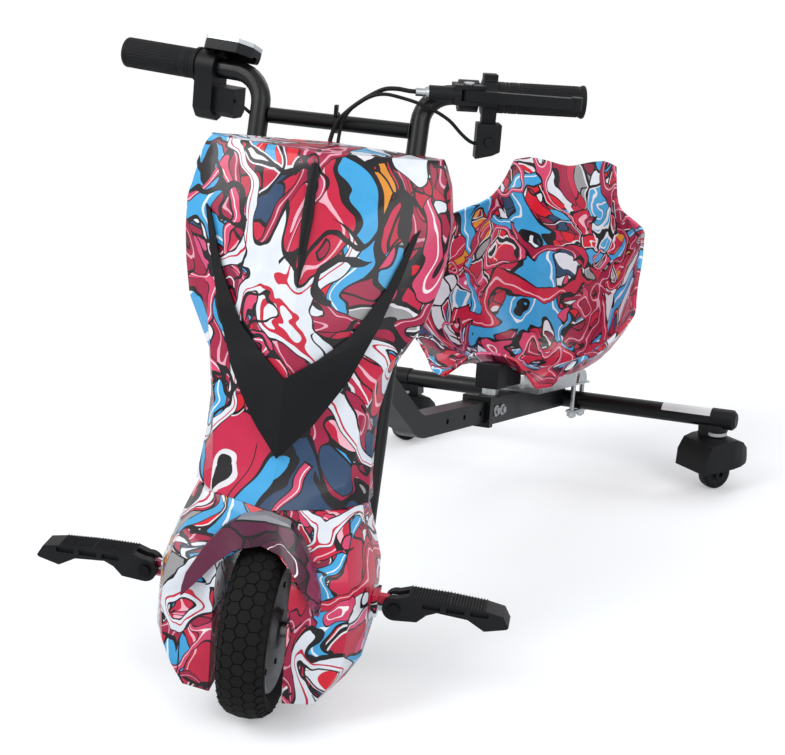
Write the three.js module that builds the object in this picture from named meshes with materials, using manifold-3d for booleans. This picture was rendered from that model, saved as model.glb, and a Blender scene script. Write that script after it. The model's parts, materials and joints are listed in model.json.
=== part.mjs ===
// Three-wheeled drift scooter: a steered hub-motor wheel under a tall shield in front, and a bucket
// seat on a beam between two swivel casters behind. Millimetres, +Z up, and it faces -Y.
// It is built with the front wheel's contact point at zero, and then moved so that the origin is on
// the floor under the middle of its box. Left and right are the rider's, so left is +X.
import * as THREE from "three";
import { mergeVertices } from "three/addons/utils/BufferGeometryUtils.js";
import Module from "manifold-3d";

const wasm = await Module();
wasm.setup();

const degree = Math.PI / 180;
const fit = 0.3; // gap between pieces that touch
const easyFit = 2 * fit; // a gap with room for paint or padding
const freeFit = 3 * fit; // a gap for a loose thread
const overrun = 6; // how far a cutting tool runs past what it cuts
const sides = [[1, "left"], [-1, "right"]];

// Front wheel
const wheelRadius = 100.5;
const tyreWidth = 52;
const rimRadius = 72;
const rimLip = 4;
const hubWidth = 46;
const hubDish = 7;
const hubBossRadius = 20;
const axleRadius = 6;
const axleShoulderRadius = 9;
const axleNutRadius = 12;
const axleNutWidth = 7;

// Steering axis, through the wheel's centre
const rake = 18.9 * degree;
const restSteer = 19.2 * degree;

// Bent tubes that run from the wheel's plates to the ends of the handlebar
const tubeRadius = 11.2;
const legSpan = 92; // half the distance between the legs
const legBehind = 58; // how far a leg's foot lies behind the steering axis
const legFootAlong = 2; // where a leg starts, measured up the axis from the wheel's centre
const kneeY = 243; // where the lines of leg and handlebar meet
const kneeZ = 661.5;
const barBendRadius = 37;
const barHalf = 263;
const barSweep = 14.3 * degree;
const barRise = 1.3 * degree;
const crossbarAlong = 564; // up the legs, from their feet
const crossbarRadius = 9;

// Head tube, and the stem that turns in it with a crown at each end
const headRadius = 20;
const headBore = 14.6;
const headFootAlong = 312;
const headTopAlong = 440;
const crownThickness = 12;
const crownDepth = 18;
const crownNose = 22;

// Plates that hold the axle
const plateThickness = 6;
const plateEyeRadius = 17;
const plateTopAlong = 62;
const plateFrontBehind = 10;

// Beam, sleeve and cross tube
const beamSlope = 10.8 * degree;
const beamSize = 30;
const beamWall = 2.5;
const beamBendY = 368;
const beamBendRadius = 55;
const beamRearY = 722;
const beamHoleRadius = 4;
const beamHoleFirstY = 448;
const beamHolePitch = 54;
const beamHoleCount = 4;
const sleeveSize = 38;
const sleeveFrontY = 573;
const collarSize = 44;
const collarLength = 13;
const crossTubeY = 884;
const crossTubeZ = 112;
const beamRearZ = 119.5; // height of the beam's line over the cross tube
const crossTubeRadius = 14;
const crossTubeWall = 2.5;
const crossTubeHalf = 287;
const capRadius = 15.8;
const capLength = 38;
const capEnd = 10; // wall of the cap past the tube's end
const capReach = crossTubeHalf + capEnd;
const capRound = 5;
const clampBoltRadius = 5.5;
const clampBoltHead = 5;
const clampWasherRadius = 8.5;
const clampWasherThickness = 1.5;
const clampBoltFirst = 28; // distance behind the sleeve's mouth
const clampBoltPitch = 22;

// Casters
const casterInset = 19; // from the tube's end to the swivel axis
const casterX = crossTubeHalf - casterInset;
const casterTurns = [-34 * degree, -30 * degree];
const casterWidth = 68;
const casterFront = 51; // distance from the swivel axis to the flat front
const casterRear = 57;
const casterTopZ = 84;
const casterFootZ = 38;
const casterWall = 3;
const casterWheelRadius = 25;
const casterWheelWidth = 22;
const casterWheelRound = 4;
const casterTrail = 2;
const casterForkThickness = 4;
const casterForkHalf = 9;
const casterAxleRadius = 4;
const casterPinRadius = 5;
const casterPinLength = 9;
const casterGap = 1;
const raceRadius = 12.5;
const raceHeight = 8;
const neckRadius = 16;
const gussetReach = 27; // inward from the swivel axis
const gussetDepth = 22;

// Seat
const seatFrontY = 640;
const seatFloorZ = 178;
const seatLength = 282;
const seatHeight = 322;
const seatHalfWidth = 170;
const seatWall = 5;
const lobePlace = 80;
const lobeSpread = 31;
const lobeDrop = 42;
const lobeForward = 24;

// Seat mounting: a channel on the sleeve, two U-bolts over it and the cross tube, and a block
const channelWidth = 96;
const channelThickness = 3;
const channelFrontY = 690;
const channelWallRearY = 846;
const channelTail = 30; // how far the channel's floor runs past the cross tube's centre
const channelWallTallest = 60;
const uBoltGap = 1.8; // from the cross tube to each leg
const uBoltX = 39;
const uBoltRadius = 4;
const uBoltFoot = 35;
const uBoltBridge = 4; // thickness of the plate that the nuts press up against the cross tube
const uBoltNutRadius = 7.5;
const uBoltNutHeight = 6.5;
const blockSize = 36;
const blockY = 620;
const blockTongueReach = 82;
const blockTongueWidth = 28;
const blockTongueHeight = 30;
const blockNutRadius = 12;
const blockNutHeight = 10;

// Shield
const shieldFootZ = 238;
const shieldHeight = 364;
const shieldHalfWidth = 149;
const shieldDepth = 205;
const shellWall = 3;
const backPanelFootAlong = 348; // up the legs, from their feet
const backPanelSplitAlong = 453;
const backPanelTopAlong = 510;
const trimThickness = 5;
const bladeHalfWidth = 7;

// Lower covers beside the wheel, and the lip that arches over it
const podInnerX = 40;
const podReach = 76;
const podFrontY = -58;
const podBackY = 84;
const podFootZ = 42;
const lipHalfWidth = 74;
const lipDepth = 66;
const lipFootZ = 156;
const lipHeight = 81;
const lipThickness = 12;

// Pegs, each on a bolt across its bracket
const pegX = 141.5;
const pegY = 37;
const pegZ = 132.5;
const pegLength = 126;
const pegWidth = 28;
const pegTongue = 9;
const pegEyeRadius = 13.5;
const pegPocketDepth = 3;
const pegPocketLength = 20;
const pegBoltRadius = 4;
const pegBoltHeadRadius = 7;
const pegBoltHead = 3;
const pegBlockInner = 116;
const pegBlockOuter = 122.5;
const pegBlockHeight = 26;
const pegStalkRadius = 10;
const pegTongueRadius = 9;

// Grips, by distance from the outer end of each
const gripRadius = 17.5;
const gripEndWall = 6;
const gripLength = 100;
const gripFlange = 20;
const gripFlangeWidth = 4;
const fixedGripLength = 100;
const gripEndLip = 1.2;

// Throttle housing and display
const gripGap = 1;
const housingLength = 24;
const housingRadius = 18.5;
const housingDrop = 61;
const housingDepth = 34;
const sideBoxLength = 26;
const sideBoxTop = 20;
const sideBoxBottom = 54;
const sideBoxSetback = 6;
const displayStart = 6;
const displayWidth = 62;
const displayDepth = 50;
const displayThickness = 11;
const displayRoof = 3;
const displayWallShare = 0.88;
const displayCoverThickness = 5;
const displayTilt = 20 * degree;
const displayLift = 15;
const displayFootDepth = 16;
const displayFootLength = 12;
const displayFootDrop = 12;
const buttonRadius = 5;
const buttonProud = 1.5;
const hornProud = 2.5;
const hornDepth = 5; // how far the button reaches into its switch
const hornTravel = 2;
const powerTravel = 1.2;

// Brake bracket, lever and switch
const bandLength = 16;
const bandRadius = 20;
const bandCrest = 26;
const bandCrestWidth = 14;
const switchNeck = 7;
const switchWidth = 28;
const switchHeight = 40;
const switchDepth = 20;
const switchAhead = 16;
const switchSlant = 9;
const bracketStart = 122;
const bracketRingLength = 22;
const bracketRingRadius = 18;
const bracketBlockStart = -4;
const bracketBlockEnd = 30;
const bracketBlockHeight = 22;
const barrelRadius = 8.5;
const barrelEnd = 58;
const pivotPlace = 14;
const pivotAhead = 24;
const pivotRise = 4;
const leverReach = 117;
const leverSplay = 25; // how much farther its tip lies ahead of the handlebar than its pivot
const leverThickness = 12;
const leverHubRadius = 8;
const leverKnobRadius = 6.5;
const leverKnobHeight = 14;
const leverPinRadius = 3.5;
const leverPinHeadRadius = 6;
const leverPinHead = 2.5;
const adjusterRadius = 4.5;
const adjusterLength = 15;
const adjusterNutRadius = 6.5;
const adjusterNutWidth = 4;
const adjusterInside = 8;

// Power pieces inside the shield
const batteryWidth = 150;
const batteryDepth = 54;
const batteryHeight = 50;
const controllerWidth = 84;
const controllerDepth = 28;
const controllerHeight = 76;

// Cords held by the scooter
const brakeCableRadius = 2.5;
const leadRadius = 2;
const tieWidth = 4;
const tieThickness = 2.8;
const tieTail = 12;

const colours = {
  film: [0xb3263f, 0.25, 0.0],
  blackPaint: [0x15161a, 0.35, 0.2],
  blackPlastic: [0x1b1c20, 0.5, 0.0],
  rubber: [0x17181b, 0.8, 0.0],
  zinc: [0xa4a6a8, 0.4, 0.9],
  chrome: [0xc8cacc, 0.15, 1.0],
  silverPlastic: [0xc9cdd3, 0.35, 0.1],
  greyMetal: [0x55585c, 0.45, 0.7],
};

const vector = (x, y, z) => new THREE.Vector3(x, y, z);

// A closed geometry as a solid that can be joined and cut, with its faces turned out
function solid(geometry) {
  const bare = geometry.index ? geometry.toNonIndexed() : geometry.clone();
  bare.deleteAttribute("normal");
  bare.deleteAttribute("uv");
  const merged = mergeVertices(bare, 1e-4);
  const vertProperties = merged.attributes.position.array;
  const triVerts = new Uint32Array(merged.index.array);
  const build = () => new wasm.Manifold(new wasm.Mesh({ numProp: 3, vertProperties, triVerts }));
  const body = build();
  if (body.volume() > 0) return body;
  triVerts.reverse();
  return build();
}

function geometryOf(body) {
  const mesh = body.getMesh();
  const places = new Float32Array(mesh.numVert * 3);
  for (let i = 0; i < mesh.numVert; i++) {
    places.set(mesh.vertProperties.subarray(i * mesh.numProp, i * mesh.numProp + 3), i * 3);
  }
  const geometry = new THREE.BufferGeometry();
  geometry.setAttribute("position", new THREE.BufferAttribute(places, 3));
  geometry.setIndex(new THREE.BufferAttribute(new Uint32Array(mesh.triVerts), 1));
  return geometry;
}

const joined = (...bodies) => bodies.reduce((sum, body) => sum.add(body));
const cut = (body, ...tools) => tools.reduce((left, tool) => left.subtract(tool), body);
const moved = (body, x, y, z) => solid(geometryOf(body).translate(x, y, z));

function piece(name, body, colour) {
  const [tint, roughness, metalness] = colours[colour];
  const material = new THREE.MeshStandardMaterial({ color: tint, roughness, metalness });
  const mesh = new THREE.Mesh(geometryOf(body), material);
  mesh.name = name;
  return mesh;
}

// The same body on the other side of the middle plane
const mirrored = (body) => solid(geometryOf(body).scale(-1, 1, 1));
const sided = (body, side) => (side < 0 ? mirrored(body) : body);

function box(low, high) {
  const size = high.map((value, i) => value - low[i]);
  const middle = high.map((value, i) => (value + low[i]) / 2);
  return solid(new THREE.BoxGeometry(...size).translate(...middle));
}

// A round rod between two points, which can narrow to another radius
function rod(from, to, radius, count = 20, farRadius = radius) {
  const run = vector(...to).sub(vector(...from));
  const length = run.length();
  const geometry = new THREE.CylinderGeometry(farRadius, radius, length, count);
  geometry.translate(0, length / 2, 0);
  geometry.applyQuaternion(
    new THREE.Quaternion().setFromUnitVectors(vector(0, 1, 0), run.normalize()),
  );
  geometry.translate(...from);
  return solid(geometry);
}

// A closed profile of [radius, place] pairs turned about an axis along X
function turnedAboutX(profile, centre, count = 48) {
  const points = profile.map(([radius, place]) => new THREE.Vector2(radius, place));
  points.push(points[0]);
  const geometry = new THREE.LatheGeometry(points, count);
  geometry.rotateZ(-Math.PI / 2);
  geometry.translate(...centre);
  return solid(geometry);
}

const shapeOf = (points) => new THREE.Shape(points.map(([a, b]) => new THREE.Vector2(a, b)));

function roundSection(radius, count) {
  const points = [];
  for (let i = 0; i < count; i++) {
    const angle = ((i + 0.5) / count) * 2 * Math.PI;
    points.push([radius * Math.cos(angle), radius * Math.sin(angle)]);
  }
  return points;
}

function squareSection(size) {
  const half = size / 2;
  return [
    [-half, -half],
    [half, -half],
    [half, half],
    [-half, half],
  ];
}

function along(section, path, steps) {
  const options = { steps, extrudePath: path, bevelEnabled: false };
  return solid(new THREE.ExtrudeGeometry(shapeOf(section), options));
}

// A solid through rings of equal count, with a fan over its first ring and its last
function loft(rings) {
  const count = rings[0].length;
  const faces = [];
  for (let k = 0; k < rings.length - 1; k++) {
    for (let i = 0; i < count; i++) {
      const a = k * count + i;
      const b = k * count + ((i + 1) % count);
      faces.push(a, b, b + count, a, b + count, a + count);
    }
  }
  const last = (rings.length - 1) * count;
  for (let i = 1; i < count - 1; i++) {
    faces.push(0, i + 1, i, last, last + i, last + i + 1);
  }
  const geometry = new THREE.BufferGeometry();
  const places = rings.flat().flatMap((p) => [p.x, p.y, p.z]);
  geometry.setAttribute("position", new THREE.Float32BufferAttribute(places, 3));
  geometry.setIndex(faces);
  return solid(geometry);
}

// A section of [a, b] pairs run from one point to another with a bend at the corner between them
function bentBar(section, from, corner, to, radius, steps) {
  const into = corner.clone().sub(from).normalize();
  const out = to.clone().sub(corner).normalize();
  const across = into.clone().cross(out).normalize();
  const turn = into.angleTo(out);
  const start = corner.clone().addScaledVector(into, -radius * Math.tan(turn / 2));
  const inward = across.clone().cross(into);
  const centre = start.clone().addScaledVector(inward, radius);
  const ring = (place, side) =>
    section.map(([a, b]) => place.clone().addScaledVector(side, a).addScaledVector(across, b));
  const rings = [ring(from, inward)];
  let side = inward;
  for (let k = 0; k <= steps; k++) {
    side = inward.clone().applyAxisAngle(across, (turn * k) / steps);
    rings.push(ring(centre.clone().addScaledVector(side, -radius), side));
  }
  rings.push(ring(to, side));
  return loft(rings);
}

// An outline of [x, z] pairs between two places on Y
function plateXZ(outline, fromY, toY) {
  const options = { depth: toY - fromY, bevelEnabled: false };
  const geometry = new THREE.ExtrudeGeometry(shapeOf(outline), options);
  return solid(geometry.rotateX(Math.PI / 2).translate(0, toY, 0));
}

// An outline of [y, z] pairs between two places on X
function plateYZ(outline, fromX, toX) {
  const options = { depth: toX - fromX, bevelEnabled: false };
  const geometry = new THREE.ExtrudeGeometry(shapeOf(outline), options);
  return solid(geometry.rotateY(Math.PI / 2).rotateX(Math.PI / 2).translate(fromX, 0, 0));
}

// An outline of [x, y] pairs between two heights
function plateXY(outline, fromZ, toZ) {
  const options = { depth: toZ - fromZ, bevelEnabled: false };
  const geometry = new THREE.ExtrudeGeometry(shapeOf(outline), options);
  return solid(geometry.translate(0, 0, fromZ));
}

// A body made with its own Z up, tilted about X and set in place
function placed(body, tilt, place) {
  return solid(geometryOf(body).rotateX(tilt).translate(...place));
}

// The wheel leans when it is steered, and its centre comes down a little
const restLean = Math.asin(Math.sin(restSteer) * Math.sin(rake));
const crownRadius = tyreWidth / 2;
const wheelHeight = (wheelRadius - crownRadius) * Math.cos(restLean) + crownRadius;

// A point by its side, its distance up the steering axis and its distance behind that axis
function onColumn(x, up, behind) {
  return vector(
    x,
    up * Math.sin(rake) + behind * Math.cos(rake),
    wheelHeight + up * Math.cos(rake) - behind * Math.sin(rake),
  );
}

const toColumn = (body) => placed(body, -rake, [0, 0, wheelHeight]);

const main = new THREE.Group();
const steered = new THREE.Group();
const steerAxis = vector(0, Math.sin(rake), Math.cos(rake));
const wheelCentre = vector(0, 0, wheelHeight);
steered.quaternion.setFromAxisAngle(steerAxis, restSteer);
steered.position.copy(wheelCentre).sub(wheelCentre.clone().applyQuaternion(steered.quaternion));
main.add(steered);

// Half of the tyre's section, as shares of its height over the rim and of its half width
const tyreHalfShares = [
  [0, 0.7],
  [0.28, 0.94],
  [0.52, 1],
  [0.8, 0.84],
  [0.95, 0.46],
];

// Half of the hub's section, as shares of the rim's radius and of the hub's half width
const hubHalfShares = [
  [0.28, 1],
  [0.34, 0.7],
  [0.86, 0.7],
  [0.94, 0.96],
  [1, 0.86],
];

// A half section of [radius, place] pairs and its reflection, run as one closed profile
function bothHalves(half) {
  return [...half, ...half.slice().reverse().map(([radius, place]) => [radius, -place])];
}

// Front wheel: an air tyre on a hub motor that turns on a fixed axle
function frontWheel() {
  const tyreHeight = wheelRadius - rimRadius - fit;
  const half = tyreHalfShares.map(([up, out]) => [
    rimRadius + fit + up * tyreHeight,
    (out * tyreWidth) / 2,
  ]);
  const section = [...half, [wheelRadius, 0]];
  section.push(...half.slice().reverse().map(([radius, place]) => [radius, -place]));
  const tyre = turnedAboutX(section, [0, 0, wheelHeight], 56);
  const hubHalf = hubHalfShares.map(([radius, out]) => [radius * rimRadius, (out * hubWidth) / 2]);
  const hub = turnedAboutX(
    bothHalves([[axleRadius + fit, hubWidth / 2], ...hubHalf]),
    [0, 0, wheelHeight],
    40,
  );
  steered.add(piece("front_tyre", tyre, "rubber"), piece("hub_motor", hub, "greyMetal"));
}

const plateOuterX = legSpan - tubeRadius - fit;
const plateInnerX = plateOuterX - plateThickness;

// Axle with a nut outside each plate, and the plates that join it to the legs
function axleAndPlates() {
  const nutStart = plateOuterX + fit;
  const nutEnd = nutStart + axleNutWidth;
  const shoulderStart = hubWidth / 2 + fit;
  const level = wheelHeight;
  const rodAt = (from, to, radius, count) => rod([from, 0, level], [to, 0, level], radius, count);
  const rings = sides.flatMap(([side]) => [
    rodAt(side * nutStart, side * nutEnd, axleNutRadius, 6),
    rodAt(side * shoulderStart, side * (plateInnerX - fit), axleShoulderRadius, 16),
  ]);
  const axle = joined(rodAt(-nutEnd, nutEnd, axleRadius, 16), ...rings);
  steered.add(piece("front_axle", axle, "zinc"));

  const front = legBehind - tubeRadius;
  const back = legBehind + tubeRadius;
  const eye = plateEyeRadius;
  const eyeShare = 0.7;
  const outline = [
    [-eye * eyeShare, -eye * eyeShare],
    [0, -eye],
    [front, legFootAlong],
    [back, legFootAlong],
    [back, plateTopAlong],
    [plateFrontBehind, plateTopAlong],
    [-eye * eyeShare, eye * eyeShare],
    [-eye, 0],
  ];
  const bore = rod(
    [plateInnerX - overrun, 0, 0],
    [plateOuterX + overrun, 0, 0],
    axleRadius + fit,
    16,
  );
  const plate = toColumn(cut(plateYZ(outline, plateInnerX, plateOuterX), bore));
  for (const [side, word] of sides) {
    steered.add(piece("axle_plate_" + word, sided(plate, side), "blackPaint"));
  }
}

const legFoot = onColumn(legSpan, legFootAlong, legBehind);
const knee = vector(legSpan, kneeY, kneeZ);
const legLean = Math.atan2(kneeY - legFoot.y, kneeZ - legFoot.z);

// A point by its side, its distance up the legs from their feet and its distance behind them
function onLegs(x, up, behind) {
  return vector(
    x,
    legFoot.y + up * Math.sin(legLean) + behind * Math.cos(legLean),
    legFoot.z + up * Math.cos(legLean) - behind * Math.sin(legLean),
  );
}

const toLegs = (body) => placed(body, -legLean, [0, legFoot.y, legFoot.z]);

// How far the legs lie behind the steering axis at a distance up it
const legBehindAt = (up) => legBehind - (up - legFootAlong) * Math.tan(rake - legLean);

const barDirection = vector(1, Math.tan(barSweep), Math.tan(barRise)).normalize();
const barEnd = knee.clone().addScaledVector(barDirection, (barHalf - legSpan) / barDirection.x);

// Each leg runs up from its axle plate and bends out into its half of the handlebar
const legTube = (radius) =>
  bentBar(roundSection(radius, 20), legFoot, knee, barEnd, barBendRadius, 8);

function legs() {
  const tube = legTube(tubeRadius);
  for (const [side, word] of sides) {
    steered.add(piece("handlebar_" + word, sided(tube, side), "blackPaint"));
  }
  const reach = legSpan - tubeRadius - fit;
  const level = onLegs(0, crossbarAlong, 0);
  const bar = rod([-reach, level.y, level.z], [reach, level.y, level.z], crossbarRadius, 14);
  steered.add(piece("crossbar", bar, "blackPaint"));
}

// Head tube on the beam, and the stem that turns in it between its two crowns
function headAndStem() {
  const outer = rod([0, 0, headFootAlong], [0, 0, headTopAlong], headRadius, 24);
  const bore = rod([0, 0, headFootAlong - overrun], [0, 0, headTopAlong + overrun], headBore, 24);
  main.add(piece("head_tube", toColumn(cut(outer, bore)), "blackPaint"));

  const low = headFootAlong - fit - crownThickness;
  const high = headTopAlong + fit;
  const reach = legSpan - tubeRadius - fit;
  const crown = (foot) => {
    const behind = legBehindAt(foot + crownThickness / 2);
    const outline = [
      [-reach, behind - crownDepth / 2],
      [-crownNose, -crownNose],
      [crownNose, -crownNose],
      [reach, behind - crownDepth / 2],
      [reach, behind + crownDepth / 2],
      [-reach, behind + crownDepth / 2],
    ];
    return plateXY(outline, foot, foot + crownThickness);
  };
  const stem = joined(
    rod([0, 0, low], [0, 0, high + crownThickness], headBore - fit, 20),
    crown(low),
    crown(high),
  );
  steered.add(piece("steering_stem", toColumn(stem), "blackPaint"));
}

// Battery on the upper crown and motor controller under the lower one
function powerPieces() {
  const foot = headTopAlong + crownThickness + easyFit;
  const battery = box(
    [-batteryWidth / 2, -crownNose, foot],
    [batteryWidth / 2, batteryDepth - crownNose, foot + batteryHeight],
  );
  const top = headFootAlong - crownThickness - easyFit;
  const controller = box(
    [-controllerWidth / 2, -controllerDepth / 2, top - controllerHeight],
    [controllerWidth / 2, controllerDepth / 2, top],
  );
  steered.add(
    piece("battery_pack", toColumn(battery), "blackPlastic"),
    piece("motor_controller", toColumn(controller), "greyMetal"),
  );
}

// Stations of the shield from foot to top: height, the middle's depth, width and depth of the
// crease, of the side's front corner and of its rear edge, then depth of the rear edge's middle
const shieldStationShares = [
  [0, -0.005, 0.473, 0.137, 0.655, 0.29, 0.668, 0.39, 0.39],
  [0.066, 0.059, 0.5, 0.195, 0.642, 0.33, 0.644, 0.42, 0.42],
  [0.14, 0.127, 0.527, 0.244, 0.63, 0.38, 0.632, 0.459, 0.459],
  [0.253, 0.151, 0.554, 0.298, 0.63, 0.44, 0.632, 0.527, 0.527],
  [0.379, 0.166, 0.622, 0.371, 0.69, 0.51, 0.69, 0.605, 0.605],
  [0.527, 0.259, 0.703, 0.449, 0.89, 0.585, 0.89, 0.73, 0.73],
  [0.624, 0.327, 0.743, 0.507, 0.955, 0.655, 0.952, 0.8, 0.8],
  [0.72, 0.39, 0.77, 0.556, 0.985, 0.69, 0.98, 0.855, 0.855],
  [0.808, 0.449, 0.791, 0.605, 0.992, 0.715, 0.985, 0.89, 0.89],
  [0.918, 0.522, 0.77, 0.673, 0.95, 0.765, 0.95, 0.88, 0.99],
  [0.978, 0.561, 0.73, 0.717, 0.895, 0.785, 0.9, 0.865, 1],
  [1, 0.605, 0.689, 0.74, 0.86, 0.795, 0.875, 0.85, 0.99],
];

const shieldStations = shieldStationShares.map(([up, my, cx, cy, ex, ey, rx, ry, back]) => ({
  z: shieldFootZ + up * shieldHeight,
  middleY: my * shieldDepth,
  crease: [cx * shieldHalfWidth, cy * shieldDepth],
  corner: [ex * shieldHalfWidth, ey * shieldDepth],
  rear: [rx * shieldHalfWidth, ry * shieldDepth],
  backY: back * shieldDepth,
}));

// One ring of the shield, moved inward by a wall and run back past its rear edge
function shieldRing({ middleY, crease, corner, rear, backY }, z, wall, past) {
  const half = [
    [crease[0] - wall / 2, crease[1] + wall],
    [corner[0] - wall, corner[1] + wall / 2],
    [rear[0] - wall, rear[1] + past],
  ];
  const left = half.map(([x, y]) => vector(x, y, z));
  const right = half.reverse().map(([x, y]) => vector(-x, y, z));
  return [vector(0, middleY + wall, z), ...left, vector(0, backY + past, z), ...right];
}

const shieldOutside = loft(shieldStations.map((station) => shieldRing(station, station.z, 0, 0)));

function shieldHollow() {
  const past = shieldDepth;
  const rings = shieldStations.map((station, i) => {
    const isLast = i === shieldStations.length - 1;
    return shieldRing(station, isLast ? station.z - shellWall : station.z, shellWall, past);
  });
  rings.unshift(rings[0].map((p) => vector(p.x, p.y, p.z - overrun)));
  return loft(rings);
}

// Half widths of the panel behind the shield, as shares of the shield's, up its height
const backPanelShares = [
  [0, 0.8],
  [0.25, 1],
  [1, 1],
];
const backPanelInnerShare = 0.56;

// Shield with its open back, and the panel that closes the upper part of that back
function shield() {
  const hollow = shieldHollow();
  steered.add(piece("front_shield", cut(shieldOutside, hollow), "film"));

  const tall = backPanelTopAlong - backPanelFootAlong;
  const edge = backPanelShares.map(([up, out]) => [
    out * shieldHalfWidth,
    backPanelFootAlong + up * tall,
  ]);
  const innerX = backPanelInnerShare * shieldHalfWidth;
  const outline = [
    ...edge,
    ...edge.slice().reverse().map(([x, up]) => [-x, up]),
    [-innerX, backPanelFootAlong],
    [-innerX, backPanelSplitAlong],
    [innerX, backPanelSplitAlong],
    [innerX, backPanelFootAlong],
  ];
  const back = -tubeRadius - fit;
  const slab = toLegs(plateXZ(outline, back - shellWall, back));
  const rings = shieldStations.map((station) =>
    shieldRing(station, station.z, shellWall + fit, shieldDepth),
  );
  steered.add(piece("shield_back", slab.intersect(loft(rings)), "blackPlastic"));
}

// Half of the chevron, as shares of the shield's half width and height
const chevronShares = [
  [0, 0.14],
  [0.223, 0.239],
  [0.439, 0.376],
  [0.595, 0.527],
  [0.703, 0.665],
  [0.797, 0.81],
  [0.757, 0.797],
  [0.608, 0.637],
  [0.405, 0.5],
  [0.203, 0.431],
  [0, 0.379],
];

// Half of the centre blade, as shares of its half width and of the shield's height
const bladeShares = [
  [0, 0.624],
  [0.6, 0.72],
  [0.9, 0.83],
  [0.7, 0.92],
  [1, 0.945],
  [0.5, 0.972],
  [0, 0.976],
];

const bothSides = (half) => [
  ...half,
  ...half
    .slice(1, -1)
    .reverse()
    .map(([x, z]) => [-x, z]),
];

// Trim that follows the shield's front face inside an outline
function trimOnShield(halfShares, halfWidth, thickness) {
  const half = halfShares.map(([x, z]) => [x * halfWidth, shieldFootZ + z * shieldHeight]);
  const prism = plateXZ(bothSides(half), -shieldDepth, shieldDepth);
  const outer = moved(shieldOutside, 0, -fit - thickness, 0);
  const inner = moved(shieldOutside, 0, -fit, 0);
  return cut(prism.intersect(outer), inner);
}

function trims() {
  steered.add(
    piece("chevron_trim", trimOnShield(chevronShares, shieldHalfWidth, trimThickness), "blackPlastic"),
    piece("centre_trim", trimOnShield(bladeShares, bladeHalfWidth, trimThickness / 2), "blackPlastic"),
  );
}

// Stations of a lower cover from foot to top: height, the inner edge's place, the front edge's
// depth, then width and depth of the front corner, of the side and of the rear corner
const podStationShares = [
  [0, 0, 0.021, 0.42, 0.07, 0.51, 0.282, 0.48, 0.535],
  [0.113, 0, 0, 0.61, 0.077, 0.79, 0.31, 0.77, 0.775],
  [0.237, 0, 0, 0.77, 0.113, 0.986, 0.352, 0.959, 0.944],
  [0.454, 0, 0, 0.811, 0.127, 1, 0.394, 0.986, 1],
  [0.634, 0, 0.007, 0.797, 0.148, 0.973, 0.423, 0.973, 1],
  [0.763, 0, 0.07, 0.73, 0.225, 0.88, 0.493, 0.88, 1],
  [0.876, 1, 0.31, 0.62, 0.38, 0.8, 0.606, 0.8, 1],
  [1, 1, 0.43, 0.5, 0.606, 0.7, 0.775, 0.7, 1],
];

const podTopZ = shieldFootZ - fit;

function podRing([up, inner, fy, cx, cy, sx, sy, rx, ry], wall, past) {
  const x = (share) => podInnerX + share * podReach;
  const y = (share) => podFrontY + share * (podBackY - podFrontY);
  const z = podFootZ + up * (podTopZ - podFootZ) - (up === 1 ? wall : 0);
  const innerX = podInnerX + inner * (fit / 2 - podInnerX);
  return [
    vector(innerX + wall, y(fy) + wall, z),
    vector(x(cx) - wall / 2, y(cy) + wall, z),
    vector(x(sx) - wall, y(sy) + wall / 2, z),
    vector(x(rx) - wall, y(ry) + past, z),
    vector(innerX + wall, y(ry) + past, z),
  ];
}

const podOutside = loft(podStationShares.map((station) => podRing(station, 0, 0)));

// Cover on each side of the wheel, open at its back, with holes for the axle and the peg's bracket
function lowerCovers() {
  const hollow = loft(podStationShares.slice(1).map((station) => podRing(station, shellWall, podReach)));
  const axleHole = rod(
    [podInnerX - overrun, 0, wheelHeight],
    [podInnerX + shellWall + overrun, 0, wheelHeight],
    axleShoulderRadius + fit,
    16,
  );
  const pegHole = rod(
    [plateOuterX, pegY, pegZ],
    [podInnerX + podReach + overrun, pegY, pegZ],
    pegStalkRadius + fit,
    20,
  );
  const pod = cut(podOutside, hollow, axleHole, pegHole);
  for (const [side, word] of sides) {
    steered.add(piece("lower_cover_" + word, sided(pod, side), "film"));
  }
}

// Half of the arch's lip from the middle out: width, then depth and height of its upper edge and
// of its lower edge
const lipShares = [
  [0, 0.85, 1, 0.6, 0.64],
  [0.34, 0.76, 0.95, 0.46, 0.59],
  [0.56, 0.58, 0.84, 0.24, 0.45],
  [0.78, 0.34, 0.6, 0.06, 0.22],
  [0.96, 0.12, 0.3, 0, 0.03],
  [1, 0.06, 0.12, 0.02, 0],
];

function archLip() {
  const ring = ([out, topY, topZ, lowY, lowZ], side) => {
    const x = side * out * lipHalfWidth;
    const y = (share) => share * lipDepth - lipDepth;
    const z = (share) => lipFootZ + share * lipHeight;
    return [
      vector(x, y(topY), z(topZ)),
      vector(x, y(lowY), z(lowZ)),
      vector(x, y(lowY) + lipThickness, z(lowZ)),
      vector(x, y(topY) + lipThickness, z(topZ)),
    ];
  };
  const rings = [
    ...lipShares.slice(1).reverse().map((station) => ring(station, -1)),
    ...lipShares.map((station) => ring(station, 1)),
  ];
  const podRoom = moved(podOutside, 0, -fit, 0);
  const lip = cut(loft(rings), moved(shieldOutside, 0, -fit, -fit), podRoom, mirrored(podRoom));
  steered.add(piece("arch_lip", lip, "film"));
}

// Outline of a peg seen from the front, from its pivot, as shares of its length
const pegShares = [
  [0.016, 0.106],
  [0.111, 0.139],
  [0.476, 0.135],
  [0.794, 0.116],
  [0.944, 0.089],
  [1, -0.008],
  [0.984, -0.027],
  [0.794, -0.077],
  [0.643, 0.009],
  [0.373, 0.029],
  [0.286, -0.01],
  [0.206, -0.089],
  [0.016, -0.106],
];
const pegPocketShares = [0.32, 0.53, 0.74];
const pegPocketHeightShares = [0.05, 0.095];

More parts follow.
